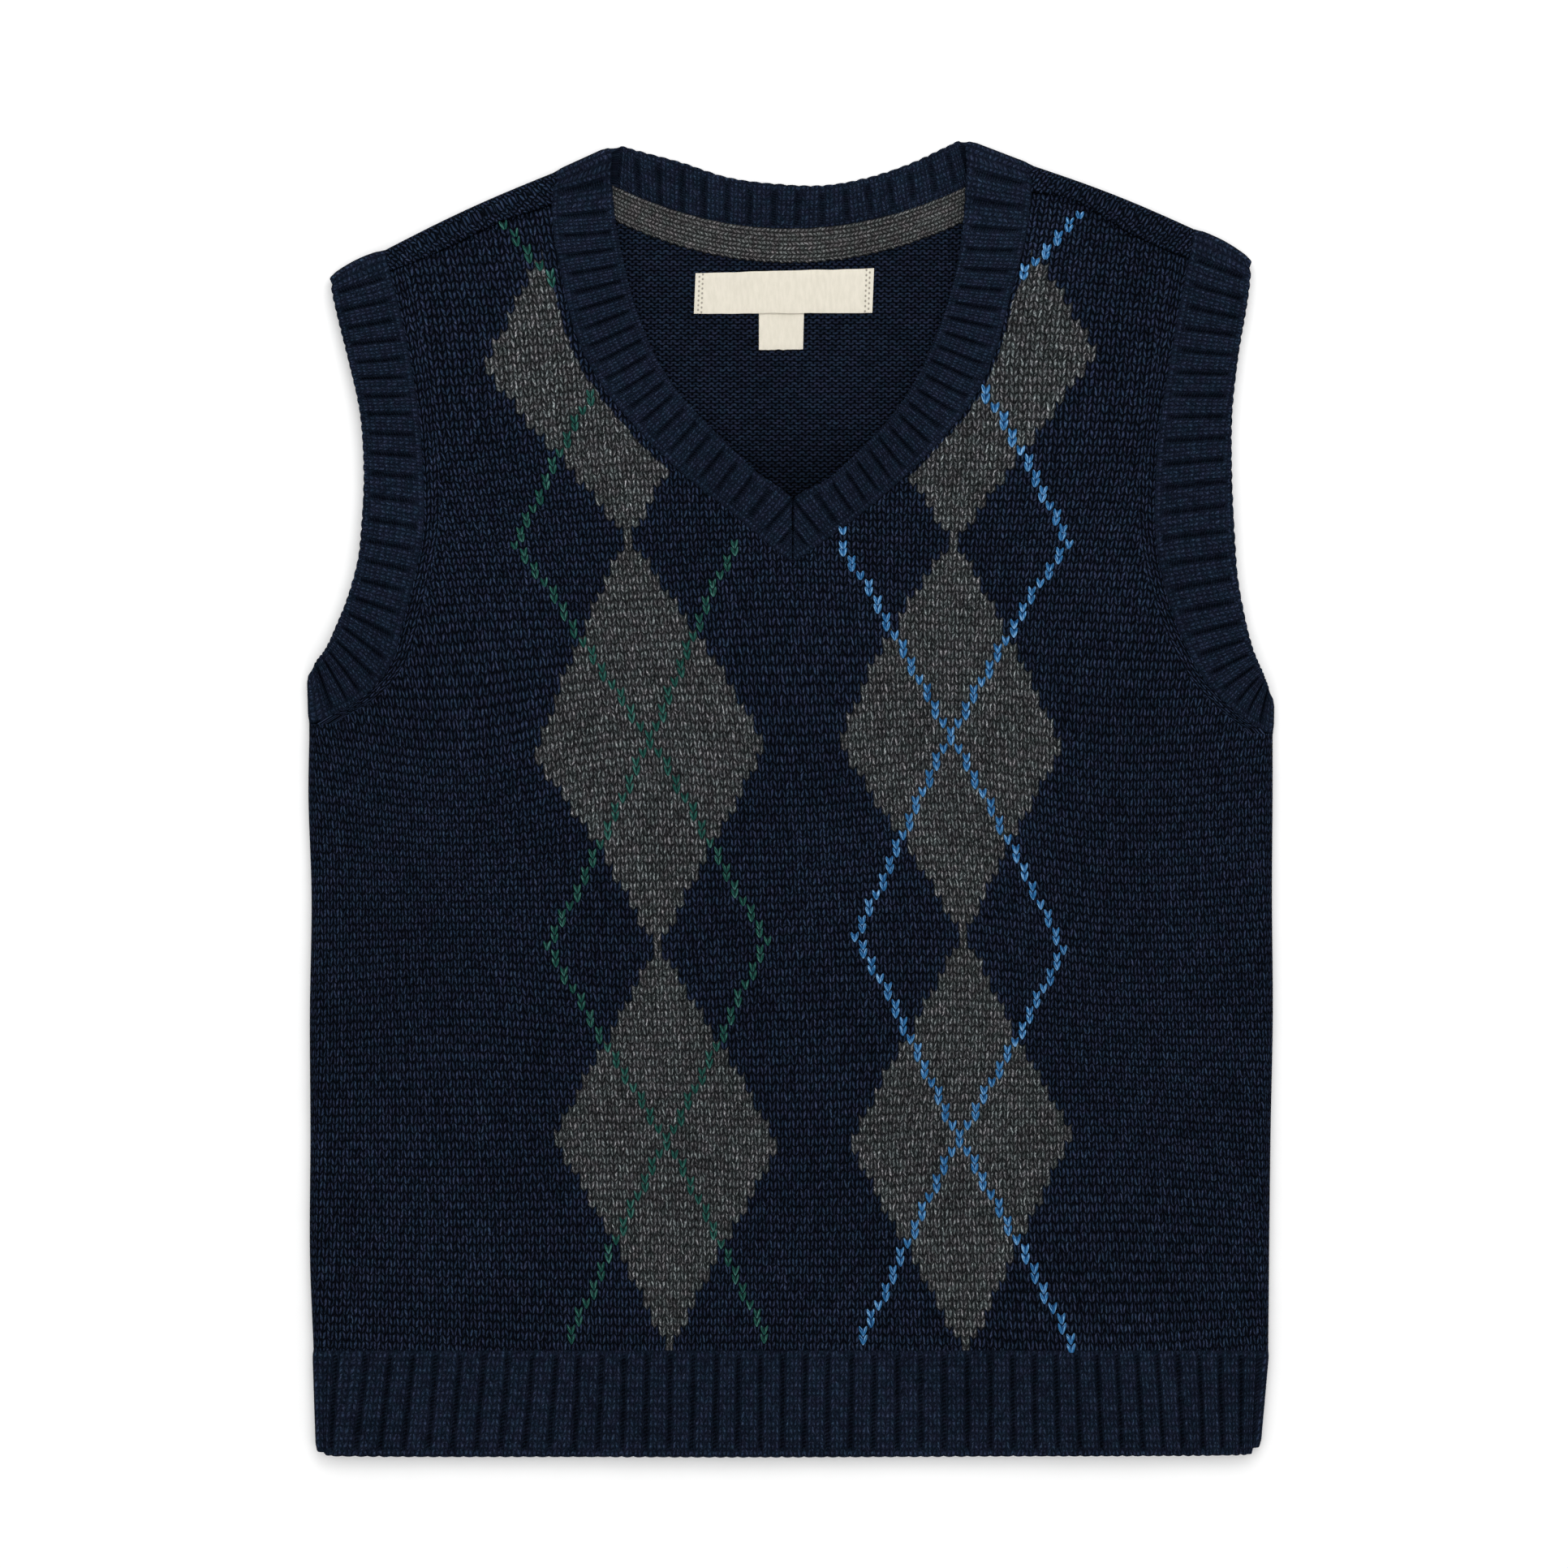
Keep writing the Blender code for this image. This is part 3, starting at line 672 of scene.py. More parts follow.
def over_shoulder(side):
    """The part that wraps round the fold at a shoulder and lies forward, down to the seam."""
    armhole, neck, _ = SIDE[side]
    out = shoulder_out(side)
    shares = steps(0, 1, SHOULDER_STEPS)
    rows = []
    for angle in ROUND_FOLD:
        row = []
        for share in shares:
            spot = fold_spot(side, share)
            unrolled = spot + out * FOLD_RADIUS * (math.radians(angle + 90) - 1)
            row.append((*on_fold(spot, out, KNIT_WALL, angle), back_stitch(unrolled)))
        rows.append(row)
    low, high = beside(armhole, 0), beside(neck, neck["rib"][-1])
    flat_ribs = (NEAR_FOLD, neck["rib"][-1] - NEAR_FOLD)
    for t, dip in TO_SEAM:
        ribs = [flat + (seam - flat) * t for flat, seam in zip(flat_ribs, SHOULDER_SEAM[side])]
        row = []
        for share in shares:
            spot = shoulder_line(side, ribs, share, t)
            past = (low.lerp(high, share) - spot).dot(out) - FOLD_RADIUS
            unrolled = spot + out * (math.pi * FOLD_RADIUS + 2 * past)
            row.append((*on_front(spot, KNIT_WALL, dip * MM), back_stitch(unrolled)))
        rows.append(row)
    return rows


bm = new_cloth()
left_up, left_top = edge_of_back("left")
right_up, right_top = edge_of_back("right")
neckline = [beside(NECK_BACK, rib) for rib in steps(0, NECK_BACK["rib"][-1], NECKLINE_STEPS)]
top = left_top + neckline[1:-1] + right_top[::-1]
bottom = [left_up[0].lerp(right_up[0], share) for share in steps(0, 1, len(top) - 1)]
rows = []
for j, (left, right) in enumerate(zip(left_up, right_up)):
    t = j / (len(left_up) - 1)
    row = []
    for i, (low, high) in enumerate(zip(bottom, top)):
        s = i / (len(top) - 1)
        spot = left.lerp(right, s) + low.lerp(high, t)
        spot -= left_up[0].lerp(right_up[0], s).lerp(left_up[-1].lerp(right_up[-1], s), t)
        row.append((*on_back(spot, KNIT_WALL, drape(spot) * 0.5), back_stitch(spot)))
    rows.append(row)
lay(bm, rows)
for side in ("left", "right"):
    lay(bm, side_fold_of_back(side))
    lay(bm, over_shoulder(side))
back = sew_up("back", bm, "plain_knit", navy_knit, navy_purl, "back_panel")

# ---------------------------------------------------------------------------------------------
# The front is a panel of the same knit with two columns of grey heather diamonds worked into it.
# It meets the back at the side folds and at a seam on each shoulder, and the stitches beside
# each armhole run along the edge.
COLUMN_AT = 19.5  # stitches from the centre line to the middle of each column of diamonds
GAUGE_X = [x * MM for x in (-172, -115, -57, 0, 57, 115, 172)]
GAUGE_Y = [y * MM for y in (-200, -130, -60, 10, 70, 120, 170, 225)]
# Columns of knitting counted from the centre line, and rows counted from the middle of the
# lowest diamonds, at each of those places: the cloth is pulled a little out of square. Both
# tables were fitted by a separate program. They weren't chosen by hand.
COLUMNS = (
    (-67.3, -46.5, -25.2, -2.9, 17.8, 38.5, 61.9),
    (-68.2, -46.1, -24.7, -3.2, 18.7, 40.0, 63.4),
    (-69.1, -44.8, -23.4, -2.7, 18.0, 41.3, 64.8),
    (-68.0, -43.6, -22.6, -1.7, 19.7, 41.9, 65.8),
    (-60.9, -41.1, -20.2, -0.0, 19.7, 40.6, 60.7),
    (-55.9, -37.6, -18.7, 0.6, 19.0, 37.6, 56.5),
    (-52.3, -35.8, -17.5, 1.2, 18.7, 36.0, 53.7),
    (-51.2, -32.4, -15.0, 0.6, 15.8, 34.0, 52.1),
)
ROWS = (
    (-27.5, -26.6, -25.5, -26.0, -25.3, -24.3, -25.8),
    (-3.3, -3.0, -3.4, -2.4, -3.4, -4.0, -2.7),
    (21.0, 20.0, 21.2, 20.0, 19.7, 21.8, 21.4),
    (44.9, 47.0, 43.7, 44.5, 43.1, 45.4, 44.4),
    (65.8, 63.8, 63.5, 62.3, 63.4, 64.0, 65.2),
    (83.2, 83.8, 81.2, 81.9, 81.9, 82.1, 83.2),
    (101.2, 100.5, 99.6, 99.8, 98.5, 99.5, 102.1),
    (120.9, 119.2, 117.7, 118.6, 119.1, 121.4, 122.1),
)


def gauge(counts, spot):
    """A count of stitches at a spot, from its table."""
    return smooth(GAUGE_Y, [smooth(GAUGE_X, row, spot.x) for row in counts], spot.y)


def front_stitch(spot):
    return gauge(COLUMNS, spot), gauge(ROWS, spot)


GREY_DARK = (0.008, 0.009, 0.012, 1)
GREY = {
    "Colour": (0.090, 0.100, 0.106, 1), "Light": (0.42, 0.43, 0.44, 1), "Dark": GREY_DARK,
    "Flecks": 0.95, "Shades": 0.7, "Depth": 0.12,
}
REPEAT = 47.0  # rows from the middle of one diamond to the next
HALF_WIDE, HALF_HIGH = 14.6, 24.0  # a diamond, in stitches
argyle_knit, tree, surface = new_material("Argyle knit")
stitch = place_group(tree, plain_stitch, Stitches=stitch_count(tree), Uneven=0.55)
off = abs(abs(stitch["Column"] + 0.5) - COLUMN_AT)
turn = calc("FRACT", (stitch["Row"] + (0.5 + REPEAT / 2)) / REPEAT) * REPEAT
inside = off / HALF_WIDE + abs(turn - REPEAT / 2) / HALF_HIGH < 1.0
# The stitches next to the neck band are its own navy ones.
rim = add(tree, "Attribute", attribute_name="rim", output="Fac")
inside = inside * (1.0 - (rim > stitch["Chance"] * 0.5 + 0.25))
grey = cloudy(dyed(stitch, GREY), 0.03, 0.05, 0.06)
colour = tint(tree, inside, cloudy(dyed(stitch, NAVY)), grey)
finish_knit(surface, colour, stitch["Height"], KNIT_RELIEF)

BORDER = [0, 0.5, 1.0, 1.6, 2.4, 3.4, 4.6, 5.9]  # millimetres from a seam
BORDER_LIE = [-0.6, -0.25, -0.1, 0.0, 0.2, 0.3, 0.2, 0.0]  # and how high the cloth lies there
BORDER_COLUMN = 200  # the border at an armhole has a count of its own
BORDER_WALE = 2.55  # width of its stitches in millimetres, as BORDER is
BORDER_ROW = 2.9 * MM
NECK_RIM = 1.0, 3.4  # millimetres from the neck over which its own stitches give way
RIM_WIDER = {"left": 1.4, "right": -0.5}
RIM_FLARE, FLARE_FROM, FLARE_TO = 1.8, 172 * MM, 190 * MM
SEAM_RIBS = (0, 0.05, 0.1, 0.18, 0.3, 0.6, 1.0)  # ribs from the shoulder seam
SEAM_LIE = (-1.6, -0.9, -0.3, 0.1, 0.3, 0.2, 0)  # and how high the cloth lies there
SIDE_COLUMNS = 1.4  # columns of stitches in the upper half of a side fold
POINT_OF_V = 82.2 * MM
TO_CENTRE = 0.3  # share of the rows above the underarm that end on the centre line
UNDERARM_CENTRE = 25 * MM  # where the row at the underarms meets it
ARMHOLE_BEGINS = -2, 6  # rows over which the dip into the seam at an armhole begins
NECK_BEGINS = 0.29, 0.33  # and the share of the rows over which it does at the neck
ACROSS_FRONT, FRONT_BODY_STEPS, FRONT_ARMHOLE_STEPS = 66, 96, 76


def front_row(start, end, at_armhole, at_neck, wide=0.0):
    """A row of the front from its outer edge in, which dips into the seams at its ends.

    Each spot has how far it lies above the rest, and how much it belongs to the neck's rim, which
    is wider in places."""
    length = (end - start).length
    along = (end - start) / length
    near_end = list(zip(BORDER, BORDER_LIE))[4::-1]
    marks = [(d * MM, lie * MM * at_armhole) for d, lie in zip(BORDER, BORDER_LIE)]
    middle = steps(BORDER[-1] * MM, length - BORDER[5] * MM, ACROSS_FRONT)[1:]
    marks += [(d, 0.0) for d in middle]
    marks += [(length - d * MM, lie * MM * at_neck) for d, lie in near_end]
    rim = [(d + wide) * MM for d in NECK_RIM]
    return [(start + along * d, lie, at_neck * (1 - eased(*rim, length - d))) for d, lie in marks]


def body_rows(side):
    """The upper half of a side fold, and the rows from it to the centre line, below the armhole."""
    armhole, _, out = SIDE[side]
    underarm = beside(armhole, armhole["rib"][-1]).y
    rolls, rows = [], []
    for t in steps(0, 1, FRONT_BODY_STEPS):
        edge = side_spot(side, HEM_TOP + (underarm - HEM_TOP) * t)
        roll = []
        for angle in UP_TO_FLAT:
            pair = on_fold(edge, out, KNIT_WALL, angle)
            column, row = front_stitch(pair[0].to_2d())
            column += out.x * (90 - angle) / 90 * SIDE_COLUMNS
            roll.append((*pair, (column, row)))
        rolls.append(roll)
        end = Vector((CENTRE_X, HEM_TOP + (UNDERARM_CENTRE - HEM_TOP) * t))
        spots = [spot for spot, *_ in front_row(roll[-1][0].to_2d(), end, 0, 0)]
        rows.append([(*on_front(spot, KNIT_WALL), front_stitch(spot)) for spot in spots])
        rows[-1][0] = roll[-1]
    return rolls, rows


def border_stitch(k, run):
    return BORDER_COLUMN - BORDER[k] / BORDER_WALE, run / BORDER_ROW


def chest_rows(side, below):
    """The rows between armhole and neck, and the border whose stitches run along the armhole."""
    armhole, neck, _ = SIDE[side]
    seam_ribs = SHOULDER_SEAM[side]
    first = armhole["rib"][-1] - NEAR_SIDE
    ribs = steps(first, seam_ribs[0] + SEAM_RIBS[4], FRONT_ARMHOLE_STEPS)
    ribs += [seam_ribs[0] + past for past in SEAM_RIBS[3::-1]]
    run, before = 0.0, beside(armhole, first)
    rows = []
    borders = [[(*below[k][:2], border_stitch(k, 0)) for k in range(len(BORDER))]]
    for i, rib in enumerate(ribs):
        start = beside(armhole, rib)
        run += (start - before).length
        before = start
        share = 1 + FRONT_ARMHOLE_STEPS * (first - rib) / (first - seam_ribs[0])
        share /= 1 + FRONT_ARMHOLE_STEPS
        if share < TO_CENTRE:
            rise = (POINT_OF_V - UNDERARM_CENTRE) * share / TO_CENTRE
            end = Vector((CENTRE_X, UNDERARM_CENTRE + rise))
        else:
            end = beside(neck, seam_ribs[1] * (share - TO_CENTRE) / (1 - TO_CENTRE))
        at_shoulder = rib == seam_ribs[0]
        if at_shoulder:
            start, end = (shoulder_line(side, seam_ribs, s) for s in (0, 1))
        wide = RIM_WIDER[side] + RIM_FLARE * eased(FLARE_FROM, FLARE_TO, end.y)
        at_ends = eased(*ARMHOLE_BEGINS, i), eased(*NECK_BEGINS, share)
        row, border = [], []
        for k, (spot, lie, rim) in enumerate(front_row(start, end, *at_ends, wide)):
            if at_shoulder:
                spot = shoulder_line(side, seam_ribs, (spot - start).length / (end - start).length)
            lie += smooth(SEAM_RIBS, SEAM_LIE, rib - seam_ribs[0]) * MM
            pair = on_front(spot, KNIT_WALL, lie)
            row.append((*pair, front_stitch(spot), rim))
            if k < len(BORDER):
                border.append((*pair, border_stitch(k, run)))
        rows.append(row)
        borders.append(border)
    return rows, borders


bm = new_cloth()
for side in ("left", "right"):
    rolls, body = body_rows(side)
    chest, borders = chest_rows(side, body[-1])
    lay(bm, rolls)
    lay(bm, [row[len(BORDER) - 1 :] for row in body + chest])
    lay(bm, [row[: len(BORDER)] for row in body])
    lay(bm, borders)
front = sew_up("front", bm, "argyle_knit", argyle_knit, navy_purl, "front_panel")

# ---------------------------------------------------------------------------------------------
# The rakers are thin lines of bright stitches that cross the diamonds, worked over the knit in
# green yarn on one column and in blue on the other. Each stitch is a plump V of two legs.
RAKER_RUNS = (1, 2, 2, 1, 2, 2, 1, 2, 2, 2, 1, 2, 2)  # rows worked in each column from a crossing
CROSSINGS = (-47, 0, 47, 94)  # rows
ROW_MIN, ROW_MAX = -23, 117
LOST_FROM = {"left": 70, "right": 72}  # the first row whose stitches the neck band takes up
LOST_TO, LOST_COLUMNS = 90, 10  # the row where that ends, and columns from the middle
CLEAR_OF_NECK = {"left": 3.2 * MM, "right": 1.3 * MM}
CLEAR_OF_SEAM = {"left": 1.5 * MM, "right": 1.8 * MM}
CLEAR_OF_CENTRE, CLEAR_BELOW_V = 1.5 * MM, 2 * MM
NECK_STEPS = 60
ABOUT_WIDE, ABOUT_HIGH = 2.7, 2.8  # of a stitch, in millimetres
LOWEST = -120  # about where the middle of the lowest diamonds is, in millimetres
WALKS, WALK_WIDE = 12, 2.6
LEG_LEAN, LEG_CHANCE, LEG_TILT = 17, 6, 6  # degrees
LEG_AWAY, LEG_LONG, LEG_HIGH = 0.22, 1.34, 0.95 * MM  # the first two as shares of a stitch
BED_WIDE, BED_LONG, BED_HIGH = 0.62, 0.9, 0.5 * MM


def raker_cells():
    """Column and row of each stitch, counted from the middle of a column of diamonds."""
    arm = [(0, 0)]
    for column, tall in enumerate(RAKER_RUNS, 1):
        arm += [(column, arm[-1][1] + rise) for rise in range(1, tall + 1)]
    corner = len(RAKER_RUNS) + 1, arm[-1][1] + 1
    cells = set()
    for side in (-1, 1):
        for crossing in CROSSINGS:
            cells |= {(side * column, crossing + row) for column, row in (*arm, corner)}
            cells |= {(side * column, crossing - 1 - row) for column, row in arm}
    return sorted(cell for cell in cells if ROW_MIN <= cell[1] <= ROW_MAX)


def on_panel(side, spot):
    """Whether a spot is on the front, clear of the neck band and the shoulder seam."""
    neck, out = SIDE[side][1:]
    ribs = SHOULDER_SEAM[side]
    line = [section(neck, rib)[0] for rib in steps(0, ribs[1], NECK_STEPS)]
    if spot.y > POINT_OF_V - CLEAR_BELOW_V:
        if (spot.x - CENTRE_X) * out.x < CLEAR_OF_CENTRE or spot.y > line[-1].y:
            return False
        seam = min(line, key=lambda point: abs(point.y - spot.y))
        if (spot.x - seam.x) * out.x < CLEAR_OF_NECK[side]:
            return False
    low, high = (shoulder_line(side, ribs, s) for s in (0, 1))
    share = (spot - low).dot(high - low) / (high - low).length_squared
    from_seam = (spot - shoulder_line(side, ribs, share)).dot(shoulder_out(side))
    return from_seam < -CLEAR_OF_SEAM[side]


def place_of(column, row):
    """Where a stitch of the front lies, found by walking to its count."""
    spot = Vector((column * ABOUT_WIDE, row * ABOUT_HIGH + LOWEST)) * MM
    for _ in range(WALKS):
        at_column, at_row = front_stitch(spot)
        spot += Vector(((column - at_column) * WALK_WIDE, (row - at_row) * ABOUT_HIGH)) * MM
    return spot


def raker_leg():
    """Half of one stitch: a short plump length of yarn, standing, that narrows to its ends."""
    bm = bmesh.new()
    bm.loops.layers.uv.new("UVMap")
    bmesh.ops.create_uvsphere(bm, u_segments=8, v_segments=7, radius=0.5, calc_uvs=True)
    for vert in bm.verts:
        full = (2 * math.hypot(vert.co.x, vert.co.y)) ** 0.2 * (1 + 0.15 * vert.co.z)
        vert.co.x *= full
        vert.co.y *= full
    leg = bpy.data.meshes.new("raker leg")
    bm.to_mesh(leg)
    bm.free()
    return leg


RAKER_LEG = raker_leg()


def add_leg(bm, place, size, deep=False):
    """Put half a stitch in its place; a deep one is the yarn seen between the two halves, all in
    its dark colour as painted shade.
    """
    verts, faces = len(bm.verts), len(bm.faces)
    bm.from_mesh(RAKER_LEG)
    bm.verts.ensure_lookup_table()
    place = place @ Matrix.Diagonal((*size, 1)) @ Matrix.Rotation(math.radians(-90), 4, "X")
    bmesh.ops.transform(bm, matrix=place, verts=bm.verts[verts:])
    if deep:
        bm.faces.ensure_lookup_table()
        turns = bm.loops.layers.uv["UVMap"]
        for face in bm.faces[faces:]:
            for loop in face.loops:
                loop[turns].uv = (0.5, 0)


def raker_yarn(name, colour, light, dark):
    """Two-ply yarn: streaks that wind round it, with painted shade in the grooves between its plies
    and painted highlights on their crests, and painted shade where a leg goes into the knit.
    """
    material, tree, surface = new_material(name + " yarn", roughness=0.85, specular=0.1)
    around, along, _ = parts(add(tree, "UVMap", uv_map="UVMap"))
    across = parts(object_space(tree))[0]
    ply = grain(join(around * 8.0 + along * 2.5, along * 2.0, across * 500.0), 1.0, 2.0, 0.6)
    # Painted shade in the grooves between the plies, and painted highlights on their crests.
    tone = tint(tree, ply.ease(0.32, 0.5), dark, colour)
    tone = tint(tree, ply.ease(0.5, 0.68), tone, light)
    # Painted shade at the ends of a leg, where it goes into the knit, and all over a deep one.
    ends = abs(along - 0.5).ease(0.36, 0.5)
    finish_knit(surface, tint(tree, ends, tone, dark), ply, 0.2 * MM)
    return material


def raker(name, side, plump, colour, light, dark):
    bm = bmesh.new()
    out = SIDE[side][2].x
    middle = COLUMN_AT * out
    for column, row in raker_cells():
        spot = place_of(middle + column, row + 0.5)
        lost = LOST_FROM[side] <= row < LOST_TO and -column * out > LOST_COLUMNS
        if lost or not on_panel(side, spot):
            continue
        wide = (place_of(middle + column + 1, row + 0.5) - spot).length
        rise = place_of(middle + column, row + 1.5) - spot
        turn = math.atan2(-rise.x, rise.y)
        level = front_level(spot) + drape(spot) + KNIT_WALL
        flat = Matrix.Translation((*spot, level)) @ Matrix.Rotation(turn, 4, "Z")
        # A bed of painted shade, in the yarn's dark colour, lies under the two legs.
        add_leg(bm, flat, (wide * BED_WIDE, rise.length * BED_LONG, BED_HIGH), deep=True)
        for leg in (-1, 1):
            chance = noise.noise(Vector((column * 1.7 + leg * 0.31, row * 1.3, leg)) * 3.1)
            lean, tilt = -leg * math.radians(LEG_LEAN + LEG_CHANCE * chance), math.radians(LEG_TILT)
            away = Vector((leg * wide * LEG_AWAY, rise.length * 0.04, 0.05 * MM))
            place = flat @ Matrix.Translation(away) @ Matrix.Rotation(lean, 4, "Z")
            place @= Matrix.Rotation(tilt, 4, "X")
            long = rise.length * LEG_LONG * (1 + 0.08 * chance)
            add_leg(bm, place, (wide * plump, long, LEG_HIGH))
    piece = new_piece(name, bm, raker_yarn(name, colour, light, dark))
    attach(piece, "root")
    return piece


# Each yarn: its colour, the light colour of the painted highlights on its plies, and the dark
# colour of its painted shade.
GREEN = (0.005, 0.054, 0.043, 1), (0.070, 0.185, 0.160, 1), (0.001, 0.010, 0.009, 1)
BLUE = (0.019, 0.120, 0.29, 1), (0.22, 0.42, 0.66, 1), (0.002, 0.022, 0.075, 1)
raker_left = raker("raker_left", "left", 0.34, *GREEN)
raker_right = raker("raker_right", "right", 0.42, *BLUE)

# ---------------------------------------------------------------------------------------------
# The welt at the hem is knitted on in ribs, front and back, and meets itself at the side folds.
# Each rib is two columns of plain stitches, with a purl furrow drawn in behind it.
HEM = table(
    BAND,  # from the left side to the right
    (0, -167.4, -193.2, -166.2, -229.3),
    (1, -159.4, -193.2, -161.0, -230.6),
    (2, -148.6, -193.2, -152.8, -230.8),
    (5, -124.1, -193.2, -127.3, -231.0),
    (9, -90.3, -193.2, -93.4, -231.0),
    (13, -58.2, -193.2, -59.1, -231.0),
    (17, -26.1, -193.2, -26.5, -231.1),
    (21, 5.2, -193.2, 4.8, -231.1),
    (25, 37.6, -193.2, 37.2, -231.0),
    (29, 70.0, -193.2, 70.0, -230.8),
    (33, 100.2, -193.2, 101.6, -230.7),
    (37, 128.2, -193.2, 130.9, -230.6),
    (41, 157.9, -193.2, 157.9, -230.3),
    (42, 164.2, -193.2, 162.4, -229.6),
    (42.5, 167.7, -193.2, 164.6, -227.8),
)
RIB_WALL = 2.0 * MM
RIB_RISE = 1.2 * MM
# The profile of a rib, from furrow to furrow: shares of its width, and heights there. Under the
# arm and in the V the ribs lean over.
RIB_PLACES = [
    0, 0.05, 0.10, 0.15, 0.20, 0.27, 0.36, 0.44, 0.5, 0.56, 0.64, 0.73, 0.80, 0.85, 0.90, 0.95
]
RIB_HEIGHTS = [
    -0.35, -0.1, 0.45, 0.8, 0.95, 1.04, 1.06, 0.96, 0.82, 0.96, 1.06, 1.04, 0.95, 0.8, 0.45, -0.1
]
LEANING_RIBS = [
    -0.1, -0.4, 0.1, 0.65, 0.9, 1.02, 1.06, 0.96, 0.82, 0.96, 1.06, 1.02, 0.92, 0.75, 0.5, 0.2
]
FOLD_TURN = 0.42  # ribs in the quarter turn from a fold's line

# Ribbed knit: two columns of plain stitches on each rib, and the furrow's bars between ribs, with
# painted shade deep in the furrows. A rim is knitted plain all over, without the furrows' shade.
RIB_FROM, RIB_SHARE = 0.13, 0.74  # the part of a rib's width that its two columns fill
rib_stitch, given, out = new_group(
    "Rib stitch", STITCH_OUT, Stitches=(0, 0, 0), Rim=0.0, Uneven=0.2
)
columns, rows, _ = parts(given["Stitches"])
share = calc("FRACT", columns)
wale = calc("FLOOR", columns) * 2.0 + (share - RIB_FROM) * (2 / RIB_SHARE)
stitch = place_group(
    rib_stitch, plain_stitch, Stitches=join(wale, rows, 0.0),
    Slant=0.8, Lean=0.08, Uneven=given["Uneven"], Twist=0.5,
)
crest = calc("MINIMUM", share, 1.0 - share).ease(0.05, 0.15)
crest = calc("MAXIMUM", crest, given["Rim"])
bars = calc("SINE", (share * 1.5 + rows) * (4 * math.pi)) * 0.14 + 0.16
# Painted shade in the furrows: they are dark apart from their bars.
low = bars * (1.0 - crest)
put_out(rib_stitch, out, Chance=stitch["Chance"], Fibre=stitch["Fibre"])
put_out(rib_stitch, out, Height=stitch["Height"] * crest + low)
put_out(rib_stitch, out, Open=(stitch["Open"] * 0.85 + 0.2) * crest + low)

RIB = {
    "Colour": (0.0150, 0.0244, 0.0510, 1), "Light": (0.052, 0.079, 0.132, 1), "Dark": NAVY_DARK,
    "Flecks": 0.7, "Shades": 0.5, "Depth": 0.08,
}
RIB_RELIEF = 0.6 * MM
navy_rib, tree, surface = new_material("Navy rib")
rim = add(tree, "Attribute", attribute_name="rim", output="Fac")
stitch = place_group(tree, rib_stitch, Stitches=stitch_count(tree), Rim=rim, Uneven=0.22)
finish_knit(surface, cloudy(dyed(stitch, RIB)), stitch["Height"], RIB_RELIEF)


def rib_turns(start, end, heights=RIB_HEIGHTS):
    """Each place between two rib counts where the ribbed profile turns, with its height."""
    turns = []
    for rib in range(math.floor(start), math.ceil(end) + 1):
        turns += [(rib + place, height) for place, height in zip(RIB_PLACES, heights)]
    inside = [turn for turn in turns if start < turn[0] < end]
    return [(start, -0.1), *inside, (end, -0.1)]


# Near a band's seam and near its free edge: millimetres from it, share of the rib's height, how
# far the cloth is drawn down, and how much of the rim's even knitting there is.
AT_SEAM = (
    (0, 0.25, -0.15, 1), (0.8, 0.3, 0, 1), (1.8, 0.45, 0, 0.8), (2.9, 0.85, 0, 0.3), (4.0, 1, 0, 0)
)
AT_WELT = (
    (0, 0, 0, 1), (0.8, 0.25, 0, 0.8), (1.6, 0.6, 0, 0.3), (2.5, 0.9, 0, 0), (3.6, 1, 0, 0)
)
AT_EDGE = (
    (3.2, 1, 0, 0), (2.5, 0.85, 0, 0.3), (1.8, 0.5, 0, 0.8), (1.1, 0.3, -0.02, 1),
    (0.6, 0.25, -0.15, 1), (0.25, 0.2, -0.4, 1), (0, 0.15, -0.8, 1),
)
AT_MITRE = (
    (3.2, 1, 0, 0), (2.5, 1, 0, 0), (1.8, 1, 0, 0), (1.2, 0.9, 0, 0),
    (0.8, 0.75, -0.3, 0), (0.4, 0.5, -0.8, 0), (0, 0.3, -1.5, 0),
)
MIDDLE_STEPS = 9
NARROW = 11 * MM  # a band narrower than this has its seam and edge drawn in to suit
FULLER = 0.10  # share by which some ribs are fuller than others
SWING, SWING_CHANCE = 0.3 * MM, 0.25 * MM  # of the scallops along the free edge
STRAY = 0.35 * MM  # how far a rib strays from a straight line
FOLD_RELIEF = 0.45 * MM
EASED_OVER, EASED_UNDER = 90, 60  # degrees round a fold where it has joined the rows beyond it


def band_places(width, at_seam=AT_SEAM, at_edge=AT_EDGE):
    """Places across a band of a width: share of the width, and the three values there."""
    unit = min(1.0, width / NARROW) * MM / width
    low = [(d * unit, *values) for d, *values in at_seam]
    high = [(1 - d * unit, *values) for d, *values in at_edge]
    middle = [(s, 1.0, 0, 0) for s in steps(low[-1][0], high[0][0], MIDDLE_STEPS)[1:-1]]
    return low + middle + high


def wander(x, y, row):
    """Smooth chance, apart for each band by the height of its rows."""
    return noise.noise(Vector((x, y, row * 1000)))


